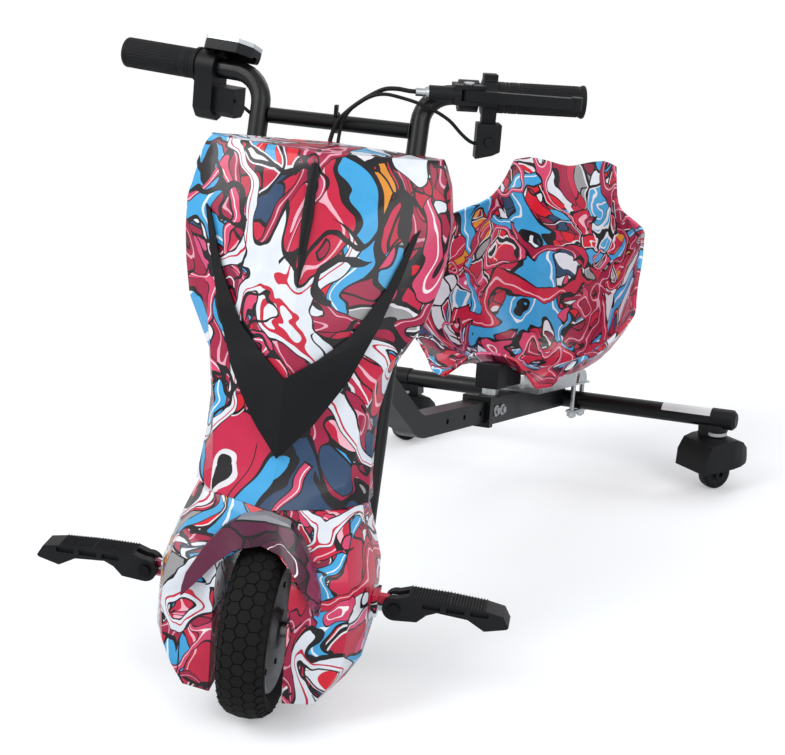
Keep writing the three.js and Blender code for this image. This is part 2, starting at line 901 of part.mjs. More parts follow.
// Pegs that fold up on a bolt through their brackets
function pegs() {
  const half = pegWidth / 2;
  const across = (reach, radius, count) =>
    rod([pegX, pegY - reach, pegZ], [pegX, pegY + reach, pegZ], radius, count);
  const blade = plateXZ(
    pegShares.map(([out, up]) => [pegX + out * pegLength, pegZ + up * pegLength]),
    pegY - half,
    pegY + half,
  );
  const slotHalf = pegTongue / 2 + fit;
  const slot = box(
    [pegX - pegEyeRadius - overrun, pegY - slotHalf, pegZ - pegLength],
    [pegX + pegEyeRadius + fit, pegY + slotHalf, pegZ + pegLength],
  );
  const [pocketLow, pocketHigh] = pegPocketHeightShares.map((share) => pegZ + share * pegLength);
  const pockets = pegPocketShares.map((share) => {
    const x = pegX + share * pegLength;
    return box(
      [x - pegPocketLength / 2, pegY - half - overrun, pocketLow],
      [x + pegPocketLength / 2, pegY - half + pegPocketDepth, pocketHigh],
    );
  });
  const bore = across(half + overrun, pegBoltRadius + fit, 16);
  const peg = cut(joined(across(half, pegEyeRadius, 20), blade), slot, bore, ...pockets);

  const block = box(
    [pegBlockInner, pegY - half, pegZ - pegBlockHeight / 2],
    [pegBlockOuter, pegY + half, pegZ + pegBlockHeight / 2],
  );
  const stalk = rod(
    [plateOuterX + fit, pegY, pegZ],
    [pegBlockOuter, pegY, pegZ],
    pegStalkRadius,
    20,
  );
  const tongue = box(
    [pegBlockInner, pegY - pegTongue / 2, pegZ - pegTongueRadius],
    [pegX, pegY + pegTongue / 2, pegZ + pegTongueRadius],
  );
  const tip = across(pegTongue / 2, pegTongueRadius, 20);
  const bracket = cut(joined(block, stalk, tongue, tip), bore);

  const headStart = half + fit;
  const heads = [1, -1].map((way) =>
    rod(
      [pegX, pegY + way * headStart, pegZ],
      [pegX, pegY + way * (headStart + pegBoltHead), pegZ],
      pegBoltHeadRadius,
      16,
    ),
  );
  const bolt = joined(across(headStart + pegBoltHead / 2, pegBoltRadius, 16), ...heads);
  for (const [side, word] of sides) {
    steered.add(
      piece("foot_peg_" + word, sided(peg, side), "blackPlastic"),
      piece("peg_bracket_" + word, sided(bracket, side), "film"),
      piece("peg_bolt_" + word, sided(bolt, side), "zinc"),
    );
  }
}

// A body made along +X from the origin, set on the right half of the handlebar so that it starts
// at a distance from the grip's outer end and runs inward
function onRightBar(body, inward) {
  const direction = vector(barDirection.x, -barDirection.y, -barDirection.z);
  const place = vector(-barEnd.x, barEnd.y, barEnd.z);
  place.addScaledVector(direction, inward - gripEndWall - fit);
  const turn = new THREE.Quaternion().setFromUnitVectors(vector(1, 0, 0), direction);
  return solid(geometryOf(body).applyQuaternion(turn).translate(...place));
}

const onLeftBar = (body, inward) => mirrored(onRightBar(body, inward));
const alongBar = (from, to, radius, count = 24) => rod([from, 0, 0], [to, 0, 0], radius, count);
const barRoom = (from, to) => alongBar(from, to, tubeRadius + fit);

// Twist grip on the throttle side and plain grip on the brake side
function grips() {
  const twist = cut(
    joined(
      alongBar(0, gripLength, gripRadius),
      alongBar(gripLength - gripFlangeWidth, gripLength, gripFlange),
    ),
    barRoom(gripEndWall, gripLength + overrun),
  );
  const plain = cut(
    joined(
      alongBar(0, fixedGripLength, gripRadius),
      alongBar(0, gripFlangeWidth, gripRadius + gripEndLip),
    ),
    barRoom(gripEndWall, fixedGripLength + overrun),
  );
  steered.add(
    piece("throttle_grip", onRightBar(twist, 0), "rubber"),
    piece("fixed_grip", onLeftBar(plain, 0), "rubber"),
  );
}

// Corners of the throttle housing's belly, as shares of its half depth and of its drop
const bellyShares = [
  [-1, 0],
  [-1, -0.76],
  [-0.53, -0.95],
  [0, -1],
  [0.53, -0.95],
  [1, -0.76],
  [1, 0],
];

// Corners of the display seen from above, as shares of its width and of its depth
const displayShares = [
  [0.05, -0.33],
  [0.15, -0.5],
  [0.8, -0.5],
  [1, -0.2],
  [1, 0.24],
  [0.85, 0.5],
  [0.15, 0.5],
  [0, 0.24],
];
const displayButtonShare = 0.8;

// Throttle housing with its belly and side box, and the display with its cover and button
function throttleControls() {
  const start = gripLength + gripGap;
  const half = housingDepth / 2;
  const belly = plateYZ(
    bellyShares.map(([out, down]) => [out * half, down * housingDrop]),
    0,
    housingLength,
  );
  const front = sideBoxSetback - half;
  const chamfer = sideBoxSetback;
  const sideBox = plateYZ(
    [
      [front, -sideBoxTop],
      [front, chamfer - sideBoxBottom],
      [front + chamfer, -sideBoxBottom],
      [half - chamfer, -sideBoxBottom],
      [half, chamfer - sideBoxBottom],
      [half, -sideBoxTop],
    ],
    housingLength / 2,
    housingLength + sideBoxLength,
  );
  const housing = cut(
    joined(alongBar(0, housingLength, housingRadius), belly, sideBox),
    barRoom(-overrun, housingLength + sideBoxLength + overrun),
  );
  steered.add(piece("throttle_housing", onRightBar(housing, start), "blackPlastic"));

  const outline = displayShares.map(([x, y]) => [x * displayWidth, y * displayDepth]);
  const middleX = displayWidth / 2;
  const inside = outline.map(([x, y]) => [
    middleX + (x - middleX) * displayWallShare,
    y * displayWallShare,
  ]);
  const tray = cut(
    plateXY(outline, 0, displayThickness),
    plateXY(inside, -overrun, displayThickness - displayRoof),
  );
  const foot = box(
    [0, -displayFootDepth / 2, -displayFootDrop],
    [displayFootLength, displayFootDepth / 2, displayThickness - displayRoof / 2],
  );
  const buttonX = displayButtonShare * displayWidth;
  const coverFoot = displayThickness + fit;
  const coverTop = coverFoot + displayCoverThickness;
  const buttonRod = (low, high, radius) => rod([buttonX, 0, low], [buttonX, 0, high], radius, 16);
  const cover = cut(
    plateXY(outline, coverFoot, coverTop),
    buttonRod(coverFoot - overrun, coverTop + overrun, buttonRadius + fit),
  );
  const button = buttonRod(coverFoot + powerTravel, coverTop + buttonProud, buttonRadius);
  const tilted = (body) => placed(body, -displayTilt, [0, 0, displayLift]);
  const drumRoom = alongBar(-displayWidth, displayWidth, housingRadius + fit);
  const base = cut(tilted(joined(tray, foot)), drumRoom);
  const displayFrom = start + displayStart;
  steered.add(
    piece("display_base", onRightBar(base, displayFrom), "blackPlastic"),
    piece("display_cover", onRightBar(tilted(cover), displayFrom), "silverPlastic"),
    piece("power_button", onRightBar(tilted(button), displayFrom), "blackPlastic"),
  );
}

// Band round the handlebar with the switch that hangs from it
function hornSwitch() {
  const start = fixedGripLength + gripGap;
  const left = bandLength / 2 - switchWidth / 2;
  const top = -bandRadius - switchNeck;
  const foot = top - switchHeight;
  const front = -switchAhead - switchDepth / 2;
  const back = -switchAhead + switchDepth / 2;
  const body = plateXZ(
    [
      [left, foot + switchSlant],
      [left + switchSlant, foot + switchSlant / 2],
      [left + switchWidth, foot],
      [left + switchWidth, top],
      [left, top],
    ],
    front,
    back,
  );
  const neck = box([0, -switchAhead, top - switchNeck], [bandLength, 0, 0]);
  const crest = box([0, -bandCrestWidth / 2, 0], [bandLength, bandCrestWidth / 2, bandCrest]);
  const seatX = left + switchWidth / 2;
  const seatZ = top - switchHeight / 2;
  const pocket = rod(
    [seatX, front - overrun, seatZ],
    [seatX, front + hornDepth + hornTravel + fit, seatZ],
    buttonRadius + fit,
    16,
  );
  const button = rod(
    [seatX, front - hornProud, seatZ],
    [seatX, front + hornDepth, seatZ],
    buttonRadius,
    16,
  );
  const band = cut(
    joined(alongBar(0, bandLength, bandRadius), crest, neck, body),
    barRoom(-switchWidth, switchWidth),
    pocket,
  );
  steered.add(
    piece("horn_switch", onLeftBar(band, start), "blackPlastic"),
    piece("horn_button", onLeftBar(button, start), "blackPlastic"),
  );
}

// Outline of the brake lever, as shares of its reach along the handlebar and of its splay
const leverShares = [
  [-0.03, 0.3],
  [0.04, -0.28],
  [0.16, 0.06],
  [0.4, 0.38],
  [0.9, 0.74],
  [1, 0.74],
  [1.03, 0.96],
  [0.97, 1.2],
  [0.86, 1.2],
  [0.4, 0.84],
  [0.14, 0.6],
];

// Brake lever between the jaws of its bracket, its pin, and the cable's adjuster
function brakeControls() {
  const jaw = leverThickness / 2 + fit;
  const high = pivotRise + bracketBlockHeight / 2;
  const low = pivotRise - bracketBlockHeight / 2;
  const pivot = (from, to, radius) =>
    rod([pivotPlace, -pivotAhead, from], [pivotPlace, -pivotAhead, to], radius, 16);
  const barrelLine = (from, to, radius, count = 16) =>
    rod([from, -pivotAhead, pivotRise], [to, -pivotAhead, pivotRise], radius, count);
  const slotEnd = pivotPlace + leverHubRadius + fit;
  const bracket = cut(
    joined(
      alongBar(0, bracketRingLength, bracketRingRadius),
      box([bracketBlockStart, -pivotAhead - leverHubRadius, low], [bracketBlockEnd, 0, high]),
      barrelLine(slotEnd + fit, barrelEnd, barrelRadius, 20),
    ),
    box(
      [bracketBlockStart - overrun, -pivotAhead - leverReach, pivotRise - jaw],
      [slotEnd, leverHubRadius + fit - pivotAhead, pivotRise + jaw],
    ),
    barrelLine(slotEnd - overrun, barrelEnd + overrun, adjusterRadius - easyFit),
    pivot(low - overrun, high + overrun, leverPinRadius + fit),
  );
  const seated = cut(onLeftBar(bracket, bracketStart), legTube(tubeRadius + fit));
  steered.add(piece("brake_bracket", seated, "blackPlastic"));

  const outline = leverShares.map(([out, ahead]) => [
    pivotPlace - out * leverReach,
    -pivotAhead - ahead * leverSplay,
  ]);
  const halfThick = leverThickness / 2;
  const knobX = pivotPlace - leverReach;
  const knobY = -pivotAhead - leverSplay;
  const lever = cut(
    joined(
      pivot(pivotRise - halfThick, pivotRise + halfThick, leverHubRadius),
      plateXY(outline, pivotRise - halfThick, pivotRise + halfThick),
      rod(
        [knobX, knobY, pivotRise - leverKnobHeight / 2],
        [knobX, knobY, pivotRise + leverKnobHeight / 2],
        leverKnobRadius,
        16,
      ),
    ),
    pivot(low, high, leverPinRadius + fit),
  );
  const pin = joined(
    pivot(low, high + fit + leverPinHead / 2, leverPinRadius),
    pivot(high + fit, high + fit + leverPinHead, leverPinHeadRadius),
  );
  const adjuster = joined(
    barrelLine(barrelEnd - adjusterInside, barrelEnd + adjusterLength, adjusterRadius - freeFit),
    barrelLine(barrelEnd + fit, barrelEnd + adjusterNutWidth, adjusterNutRadius, 12),
    barrelLine(barrelEnd + adjusterNutWidth / 2, barrelEnd + adjusterLength, adjusterRadius),
  );
  steered.add(
    piece("brake_lever", onLeftBar(lever, bracketStart), "greyMetal"),
    piece("lever_pin", onLeftBar(pin, bracketStart), "zinc"),
    piece("cable_adjuster", onLeftBar(adjuster, bracketStart), "zinc"),
  );
}

// A point on the line of the beam and the sleeve, above their middle by a distance
function onBeam(x, y, above) {
  const z = beamRearZ + (crossTubeY - y) * Math.tan(beamSlope);
  return vector(x, y + above * Math.sin(beamSlope), z + above * Math.cos(beamSlope));
}

const straight = (from, to, size) => along(squareSection(size), new THREE.LineCurve3(from, to), 1);

// Beam that rises to the head tube
function beam() {
  const rear = onBeam(0, beamRearY, 0);
  const bend = onBeam(0, beamBendY, 0);
  const head = onColumn(0, (headFootAlong + headTopAlong) / 2, 0);
  const bar = (size, from, to) =>
    bentBar(squareSection(size), from, bend, to, beamBendRadius, 10);
  const boreStart = onBeam(0, beamRearY + overrun, 0);
  const boreShare = 0.72;
  const boreEnd = bend.clone().lerp(head, boreShare);
  const outer = bar(beamSize, rear, head);
  const bore = bar(beamSize - 2 * beamWall, boreStart, boreEnd);
  const holes = [];
  for (let k = 0; k < beamHoleCount; k++) {
    const { y, z } = onBeam(0, beamHoleFirstY + k * beamHolePitch, 0);
    holes.push(rod([-beamSize, y, z], [beamSize, y, z], beamHoleRadius, 12));
  }
  const headRoom = toColumn(
    rod([0, 0, headFootAlong - beamSize], [0, 0, headTopAlong + beamSize], headRadius + fit, 24),
  );
  main.add(piece("main_beam", cut(outer, bore, headRoom, ...holes), "blackPaint"));
}

// Sleeve that slides on the beam, with its collar and its two clamp bolts
function sleeve() {
  const run = (from, to, size) => straight(onBeam(0, from, 0), onBeam(0, to, 0), size);
  const boreEnd = crossTubeY - sleeveSize;
  const tubeRoom = rod(
    [-sleeveSize, crossTubeY, crossTubeZ],
    [sleeveSize, crossTubeY, crossTubeZ],
    crossTubeRadius + fit,
    28,
  );
  const tail = box(
    [-sleeveSize, crossTubeY, crossTubeZ - 2 * sleeveSize],
    [sleeveSize, crossTubeY + 2 * sleeveSize, crossTubeZ + 2 * sleeveSize],
  );
  const body = cut(
    joined(
      run(sleeveFrontY, crossTubeY, sleeveSize),
      run(sleeveFrontY, sleeveFrontY + collarLength, collarSize),
    ),
    run(sleeveFrontY - overrun, boreEnd, beamSize + easyFit),
    tubeRoom,
    tail,
  );
  main.add(piece("rear_sleeve", body, "blackPaint"));
  for (const [k, word] of [[0, "front"], [1, "rear"]]) {
    const { y, z } = onBeam(0, sleeveFrontY + clampBoltFirst + k * clampBoltPitch, 0);
    const start = sleeveSize / 2 + fit;
    const bolt = joined(
      rod([start, y, z], [start + clampBoltHead, y, z], clampBoltRadius, 6),
      rod([start, y, z], [start + clampWasherThickness, y, z], clampWasherRadius, 16),
    );
    main.add(piece("clamp_bolt_" + word, bolt, "zinc"));
  }
}

// Cross tube with a cap over each end and the caster sockets under it
function crossTube() {
  const onTube = (from, to, radius, count = 28, farRadius = radius) =>
    rod([from, crossTubeY, crossTubeZ], [to, crossTubeY, crossTubeZ], radius, count, farRadius);
  const past = crossTubeHalf + overrun;
  const tube = cut(
    onTube(-crossTubeHalf, crossTubeHalf, crossTubeRadius),
    onTube(-past, past, crossTubeRadius - crossTubeWall),
  );
  main.add(piece("cross_tube", tube, "blackPaint"));
  const capStart = capReach - capLength;
  const cap = cut(
    joined(
      onTube(capStart, capReach - capRound, capRadius),
      onTube(capReach - capRound, capReach, capRadius, 28, capRadius - capRound),
    ),
    onTube(capStart - overrun, crossTubeHalf + fit, crossTubeRadius + fit),
  );
  const upright = (from, to, radius, count = 24) =>
    rod([casterX, crossTubeY, from], [casterX, crossTubeY, to], radius, count);
  const raceFoot = casterTopZ + fit;
  const socket = cut(
    joined(
      upright(raceFoot, raceFoot + raceHeight, raceRadius),
      upright(raceFoot + raceHeight, crossTubeZ - capRadius / 2, neckRadius),
      box(
        [casterX - gussetReach, crossTubeY - gussetDepth / 2, raceFoot],
        [casterX - casterPinRadius, crossTubeY + gussetDepth / 2, crossTubeZ - capRadius / 2],
      ),
    ),
    upright(raceFoot - overrun, casterTopZ + casterPinLength + fit, casterPinRadius + fit, 16),
    onTube(casterX - 2 * gussetReach, casterX + 2 * neckRadius, crossTubeRadius + fit),
    onTube(capStart - fit, casterX + 2 * neckRadius, capRadius + fit),
  );
  for (const [side, word] of sides) {
    main.add(
      piece("tube_cap_" + word, sided(cap, side), "blackPlastic"),
      piece("caster_socket_" + word, sided(socket, side), "blackPaint"),
    );
  }
}

// Outline of a caster's hood seen from its side, as shares of its front or rear length and of
// its height
const hoodFootShare = 0.1;
const hoodShares = [
  [-1, 0],
  [-0.94, 0.55],
  [-0.72, 0.92],
  [-0.4, 1],
  [0.18, 1],
  [0.5, 0.84],
  [0.8, 0.5],
  [1, 0.12],
  [0.96, 0.02],
  [0.7, 0],
];

// Half outline of the hood seen from above, as shares of its half width and of its lengths
const hoodPlanShares = [
  [0, -1],
  [1, -1],
  [1, 0.12],
  [0.88, 0.45],
  [0.62, 0.75],
  [0.3, 0.95],
  [0, 1],
];

// Swivel caster made about the origin, with its swivel axis on Z and its front at -Y
function casterBodies() {
  const tall = casterTopZ - casterFootZ;
  const lengthOf = (share) => share * (share < 0 ? casterFront : casterRear);
  const hoodSolid = (wall) => {
    const inward = (value) => value - Math.sign(value) * wall;
    const side = hoodShares.map(([y, z]) => [
      inward(lengthOf(y)),
      z > hoodFootShare ? casterFootZ + z * tall - wall : casterFootZ + z * tall - (wall > 0 ? overrun : 0),
    ]);
    const plan = hoodPlanShares.map(([x, y]) => [
      Math.max(0, (x * casterWidth) / 2 - wall),
      inward(lengthOf(y)),
    ]);
    const both = [...plan, ...plan.slice(1, -1).reverse().map(([x, y]) => [-x, y])];
    return plateYZ(side, -casterWidth, casterWidth).intersect(plateXY(both, 0, 2 * casterTopZ));
  };
  const axleY = -casterTrail;
  const axleZ = casterWheelRadius;
  const axleRod = (from, to, radius, count = 32, farRadius = radius) =>
    rod([from, axleY, axleZ], [to, axleY, axleZ], radius, count, farRadius);
  const wheelHalf = casterWheelWidth / 2;
  const forkInner = wheelHalf + casterGap;
  const forks = sides.map(([side]) => {
    const near = side * forkInner;
    const far = side * (forkInner + casterForkThickness);
    return joined(
      box(
        [Math.min(near, far), axleY - casterForkHalf, axleZ],
        [Math.max(near, far), axleY + casterForkHalf, casterTopZ - casterWall / 2],
      ),
      axleRod(near, far, casterForkHalf, 20),
    );
  });
  const pinTop = casterTopZ + casterPinLength;
  const hood = cut(
    joined(
      cut(hoodSolid(0), hoodSolid(casterWall)),
      rod([0, 0, casterTopZ - casterWall], [0, 0, pinTop], casterPinRadius, 16),
      ...forks,
    ),
    axleRod(-casterWidth, casterWidth, casterAxleRadius + fit, 16),
  );
  const round = casterWheelRound;
  const axleHalf = forkInner + casterForkThickness;
  const wheel = joined(
    axleRod(-axleHalf, axleHalf, casterAxleRadius, 16),
    axleRod(round - wheelHalf, wheelHalf - round, casterWheelRadius),
    ...sides.map(([side]) =>
      axleRod(
        side * (wheelHalf - round),
        side * wheelHalf,
        casterWheelRadius,
        32,
        casterWheelRadius - round,
      ),
    ),
  );
  return { hood, wheel };
}

function casters() {
  const { hood, wheel } = casterBodies();
  sides.forEach(([side, word], i) => {
    const group = new THREE.Group();
    group.position.set(side * casterX, crossTubeY, 0);
    group.rotation.z = casterTurns[i];
    group.add(
      piece("caster_hood_" + word, hood, "blackPlastic"),
      piece("caster_wheel_" + word, wheel, "rubber"),
    );
    main.add(group);
  });
}

// Rows of the seat from its front lip to its top: depth and height of the middle, half width, then
// depth and height of the edge
const seatRowShares = [
  [0, 0.22, 0.86, 0.05, 0.255],
  [0.099, 0.15, 0.93, 0.13, 0.298],
  [0.284, 0.066, 0.985, 0.265, 0.348],
  [0.496, 0.012, 1, 0.38, 0.384],
  [0.681, 0, 0.965, 0.455, 0.433],
  [0.794, 0.068, 0.945, 0.515, 0.497],
  [0.851, 0.23, 0.945, 0.564, 0.584],
  [0.894, 0.441, 0.932, 0.61, 0.672],
  [0.926, 0.627, 0.9, 0.652, 0.715],
  [0.95, 0.764, 0.665, 0.752, 0.768],
  [0.972, 0.86, 0.565, 0.823, 0.838],
  [1, 0.968, 0.487, 0.936, 0.99],
];
const seatColumns = 16;
const seatSteps = 26;
const seatBend = 2.6; // how late across its width the seat turns up
const lipFade = 9; // how quickly the lobes of the front lip fade towards the back

const seatCurves = [0, 1, 2, 3, 4].map(
  (k) => new THREE.CatmullRomCurve3(seatRowShares.map((row, i) => vector(i, row[k], 0))),
);

// A point of the seat's upper side: across from -1 to 1 and up from 0 to 1
function seatPoint(across, up) {
  const [midY, midZ, half, edgeY, edgeZ] = seatCurves.map((curve) => curve.getPoint(up).y);
  const bend = Math.pow(Math.abs(across), seatBend);
  const x = across * half * seatHalfWidth;
  const nearLip = Math.max(0, 1 - up * lipFade);
  const lobe = Math.exp(-Math.pow((Math.abs(x) - lobePlace) / lobeSpread, 2)) * nearLip;
  return vector(
    x,
    seatFrontY + (midY + (edgeY - midY) * bend) * seatLength - lobeForward * lobe,
    seatFloorZ + (midZ + (edgeZ - midZ) * bend) * seatHeight - lobeDrop * lobe,
  );
}

function seatNormal(across, up) {
  const step = 0.01;
  const a = Math.min(1 - step, Math.max(step - 1, across));
  const u = Math.min(1 - step, Math.max(step, up));
  const alongRow = seatPoint(a + step, u).sub(seatPoint(a - step, u));
  const alongColumn = seatPoint(a, u + step).sub(seatPoint(a, u - step));
  return alongRow.cross(alongColumn).normalize();
}

// A solid between an upper and a lower surface, each given at places across and up the seat
function seatSolid(upper, lower, highest) {
  const top = [];
  const under = [];
  for (let j = 0; j <= seatSteps; j++) {
    for (let i = 0; i <= seatColumns; i++) {
      const across = (2 * i) / seatColumns - 1;
      const up = (highest * j) / seatSteps;
      top.push(upper(across, up));
      under.push(lower(across, up));
    }
  }
  const width = seatColumns + 1;
  const offset = top.length;
  const faces = [];
  for (let j = 0; j < seatSteps; j++) {
    for (let i = 0; i < seatColumns; i++) {
      const a = j * width + i;
      const b = a + offset;
      faces.push(a, a + 1, a + width + 1, a, a + width + 1, a + width);
      faces.push(b, b + width + 1, b + 1, b, b + width, b + width + 1);
    }
  }
  const rim = [];
  for (let i = 0; i < seatColumns; i++) rim.push(i);
  for (let j = 0; j < seatSteps; j++) rim.push(j * width + seatColumns);
  for (let i = seatColumns; i > 0; i--) rim.push(seatSteps * width + i);
  for (let j = seatSteps; j > 0; j--) rim.push(j * width);
  rim.forEach((a, k) => {
    const b = rim[(k + 1) % rim.length];
    faces.push(a, a + offset, b + offset, a, b + offset, b);
  });
  const geometry = new THREE.BufferGeometry();
  const places = [...top, ...under].flatMap((p) => [p.x, p.y, p.z]);
  geometry.setAttribute("position", new THREE.Float32BufferAttribute(places, 3));
  geometry.setIndex(faces);
  return solid(geometry);
}

const seatUnderside = (across, up, gap) =>
  seatPoint(across, up).addScaledVector(seatNormal(across, up), -seatWall - gap);

// Everything above the seat pan's underside, with the gap that touching pieces keep
function seatRoom() {
  const panShare = 0.55;
  const lower = (across, up) => seatUnderside(across, up, fit);
  const upper = (across, up) => lower(across, up).add(vector(0, 0, seatHeight));
  return seatSolid(upper, lower, panShare);
}

// Seat, the channel under it with its U-bolts, and the block in front with its nut
function seat() {
  const shell = seatSolid(seatPoint, (across, up) => seatUnderside(across, up, 0), 1);
  main.add(piece("seat_shell", shell, "film"));

  const room = seatRoom();
  const place = [0, crossTubeY, beamRearZ];
  const onSleeve = (body) => placed(body, -beamSlope, place);
  const floor = sleeveSize / 2 + fit;
  const fromY = (channelFrontY - crossTubeY) / Math.cos(beamSlope);
  const wallToY = (channelWallRearY - crossTubeY) / Math.cos(beamSlope);
  const half = channelWidth / 2;
  const legY = crossTubeRadius + uBoltGap + uBoltRadius;
  const legPlaces = sides.flatMap(([side]) => [1, -1].map((way) => [side * uBoltX, way * legY]));
  const floorPlate = box([-half, fromY, floor], [half, channelTail, floor + channelThickness]);
  const walls = sides.map(([side]) =>
    box(
      [Math.min(side * half, side * (half - channelThickness)), fromY, floor],
      [Math.max(side * half, side * (half - channelThickness)), wallToY, floor + channelWallTallest],
    ),
  );
  const legHoles = legPlaces.map(([x, y]) =>
    rod([x, y, floor - overrun], [x, y, floor + 2 * overrun], uBoltRadius + fit, 16),
  );
  const channel = cut(onSleeve(joined(floorPlate, ...walls)), onSleeve(joined(...legHoles)), room);
  main.add(piece("seat_channel", channel, "zinc"));

  const bendZ = floor + channelThickness + fit;
  const bridgeTop = crossTubeZ - beamRearZ - crossTubeRadius - easyFit;
  const bridgeFoot = bridgeTop - uBoltBridge;
  for (const [side, word] of sides) {
    const x = side * uBoltX;
    const [front, back] = [-legY, legY].map((y) => vector(x, y, bendZ));
    const path = new THREE.CurvePath();
    path.add(new THREE.LineCurve3(vector(x, -legY, -uBoltFoot), front));
    const lift = vector(0, 0, (4 / 3) * legY);
    path.add(
      new THREE.CubicBezierCurve3(front, front.clone().add(lift), back.clone().add(lift), back),
    );
    path.add(new THREE.LineCurve3(back, vector(x, legY, -uBoltFoot)));
    const nuts = [1, -1].map((way) =>
      rod([x, way * legY, bridgeFoot - uBoltNutHeight], [x, way * legY, bridgeFoot], uBoltNutRadius, 6),
    );
    const bridge = box(
      [x - uBoltNutRadius, -legY - uBoltNutRadius, bridgeFoot],
      [x + uBoltNutRadius, legY + uBoltNutRadius, bridgeTop],
    );
    const saddle = cut(
      rod([x - uBoltNutRadius, 0, bendZ], [x + uBoltNutRadius, 0, bendZ], legY, 24),
      box([x - 2 * uBoltNutRadius, -2 * legY, bendZ - 2 * legY], [x + 2 * uBoltNutRadius, 2 * legY, bendZ]),
    );
    const bow = along(roundSection(uBoltRadius, 8), path, 22);
    const uBolt = joined(bow, saddle, bridge, ...nuts);
    main.add(piece("seat_u_bolt_" + word, onSleeve(uBolt), "chrome"));
  }

  const blockLocalY = (blockY - crossTubeY) / Math.cos(beamSlope);
  const nut = rod(
    [0, blockLocalY, floor],
    [0, blockLocalY, floor + blockNutHeight],
    blockNutRadius,
    6,
  );
  const blockFoot = floor + blockNutHeight + fit;
  const blockHalf = blockSize / 2;
  const block = joined(
    box(
      [-blockHalf, blockLocalY - blockHalf, blockFoot],
      [blockHalf, blockLocalY + blockHalf, blockFoot + blockSize],
    ),
    box(
      [-blockTongueWidth / 2, blockLocalY, blockFoot],
      [blockTongueWidth / 2, blockLocalY + blockTongueReach, blockFoot + blockTongueHeight],
    ),
  );
  main.add(
    piece("seat_block_nut", onSleeve(nut), "zinc"),
    piece("seat_block", cut(onSleeve(block), room), "rubber"),
  );
}

// Routes of the cords when the scooter steers straight ahead
const brakeCableRoute = [
  [80, 214, 664.5],
  [66, 212, 667],
  [52, 212, 665],
  [32, 213, 653],
  [12, 215, 636],
  [1, 215, 622],
  [-4, 213, 606],
  [-5, 208, 594],
  [-5, 197, 582],
];
const leadRoute = [
  [142, 238, 620],
  [124, 230, 637],
  [98, 217, 651],
  [72, 207, 658.5],
  [54, 205, 660.5],
  [40, 205, 657],
  [18, 208, 641],
  [8, 212, 624],
  [5, 211, 606],
  [5, 207, 594],
  [4, 196, 582],
];
const throttleCableRoute = [
  [-112, 232, 624],
  [-104, 236, 618],
  [-98, 246, 610],
  [-95, 258, 600],
  [-93, 262, 585],
];

function cords() {
  const run = (points) => new THREE.CatmullRomCurve3(points.map((p) => vector(...p)));
  const cord = (points, radius, steps) => along(roundSection(radius, 8), run(points), steps);
  const level = onLegs(0, crossbarAlong, 0);
  const inner = crossbarRadius + fit;
  const outer = inner + tieThickness;
  const tieX = tieWidth;
  const tie = cut(
    joined(
      rod([-tieX, level.y, level.z], [tieWidth - tieX, level.y, level.z], outer, 16),
      box(
        [-tieX, level.y - outer, level.z + crossbarRadius],
        [tieWidth - tieX, level.y - crossbarRadius / 2, level.z + crossbarRadius + tieTail],
      ),
    ),
    rod([-tieX - overrun, level.y, level.z], [overrun, level.y, level.z], inner, 16),
  );
  steered.add(
    piece("brake_cable", cord(brakeCableRoute, brakeCableRadius, 34), "rubber"),
    piece("switch_lead", cord(leadRoute, leadRadius, 40), "rubber"),
    piece("throttle_cable", cord(throttleCableRoute, leadRadius, 14), "rubber"),
    piece("cable_tie", tie, "blackPlastic"),
  );
}

frontWheel();
axleAndPlates();
legs();
headAndStem();
powerPieces();
shield();
trims();
lowerCovers();
archLip();
pegs();
grips();
throttleControls();
hornSwitch();
brakeControls();
beam();
sleeve();
crossTube();
casters();
seat();
cords();

const bounds = new THREE.Box3().setFromObject(main, true);
main.position.set(
  -(bounds.min.x + bounds.max.x) / 2,
  -(bounds.min.y + bounds.max.y) / 2,
  -bounds.min.z,
);

export default main;
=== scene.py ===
import json
import math

import bmesh
import bpy
from mathutils import Matrix, Vector


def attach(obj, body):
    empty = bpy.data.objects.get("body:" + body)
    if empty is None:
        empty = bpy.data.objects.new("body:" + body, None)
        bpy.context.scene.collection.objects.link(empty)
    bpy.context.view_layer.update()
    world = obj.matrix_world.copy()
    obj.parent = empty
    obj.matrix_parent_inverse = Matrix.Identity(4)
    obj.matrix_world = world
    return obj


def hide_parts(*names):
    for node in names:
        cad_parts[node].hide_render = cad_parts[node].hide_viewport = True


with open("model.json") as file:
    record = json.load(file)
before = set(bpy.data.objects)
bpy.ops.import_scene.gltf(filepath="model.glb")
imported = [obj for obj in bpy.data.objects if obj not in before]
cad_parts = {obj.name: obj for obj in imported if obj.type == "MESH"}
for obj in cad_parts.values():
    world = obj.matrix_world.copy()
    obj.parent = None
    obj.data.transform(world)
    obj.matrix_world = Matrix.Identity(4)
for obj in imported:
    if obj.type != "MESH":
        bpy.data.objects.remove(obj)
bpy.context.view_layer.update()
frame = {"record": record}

MM = 0.001
TRACK = Vector((6.78163, -419.05877, 0)) * MM
WHEEL_HEIGHT = 100.08 * MM
RAKE = math.radians(18.9)
TURN = math.radians(19.2)

# The steered pieces are drawn for straight bars and turned about the raked head tube.
HEAD_AXIS = Vector((0, math.sin(RAKE), math.cos(RAKE)))
WHEEL_CENTRE = Vector((0, 0, WHEEL_HEIGHT))
STEERED = (
    Matrix.Translation(TRACK + WHEEL_CENTRE)
    @ Matrix.Rotation(TURN, 4, HEAD_AXIS)
    @ Matrix.Translation(-WHEEL_CENTRE)
)
WHEEL = STEERED @ Matrix.Translation(WHEEL_CENTRE)


def steered(x, y, z):
    """A point of the straight-ahead drawing in mm, as a point of the row in metres."""
    return STEERED @ (Vector((x, y, z)) * MM)


# Camera

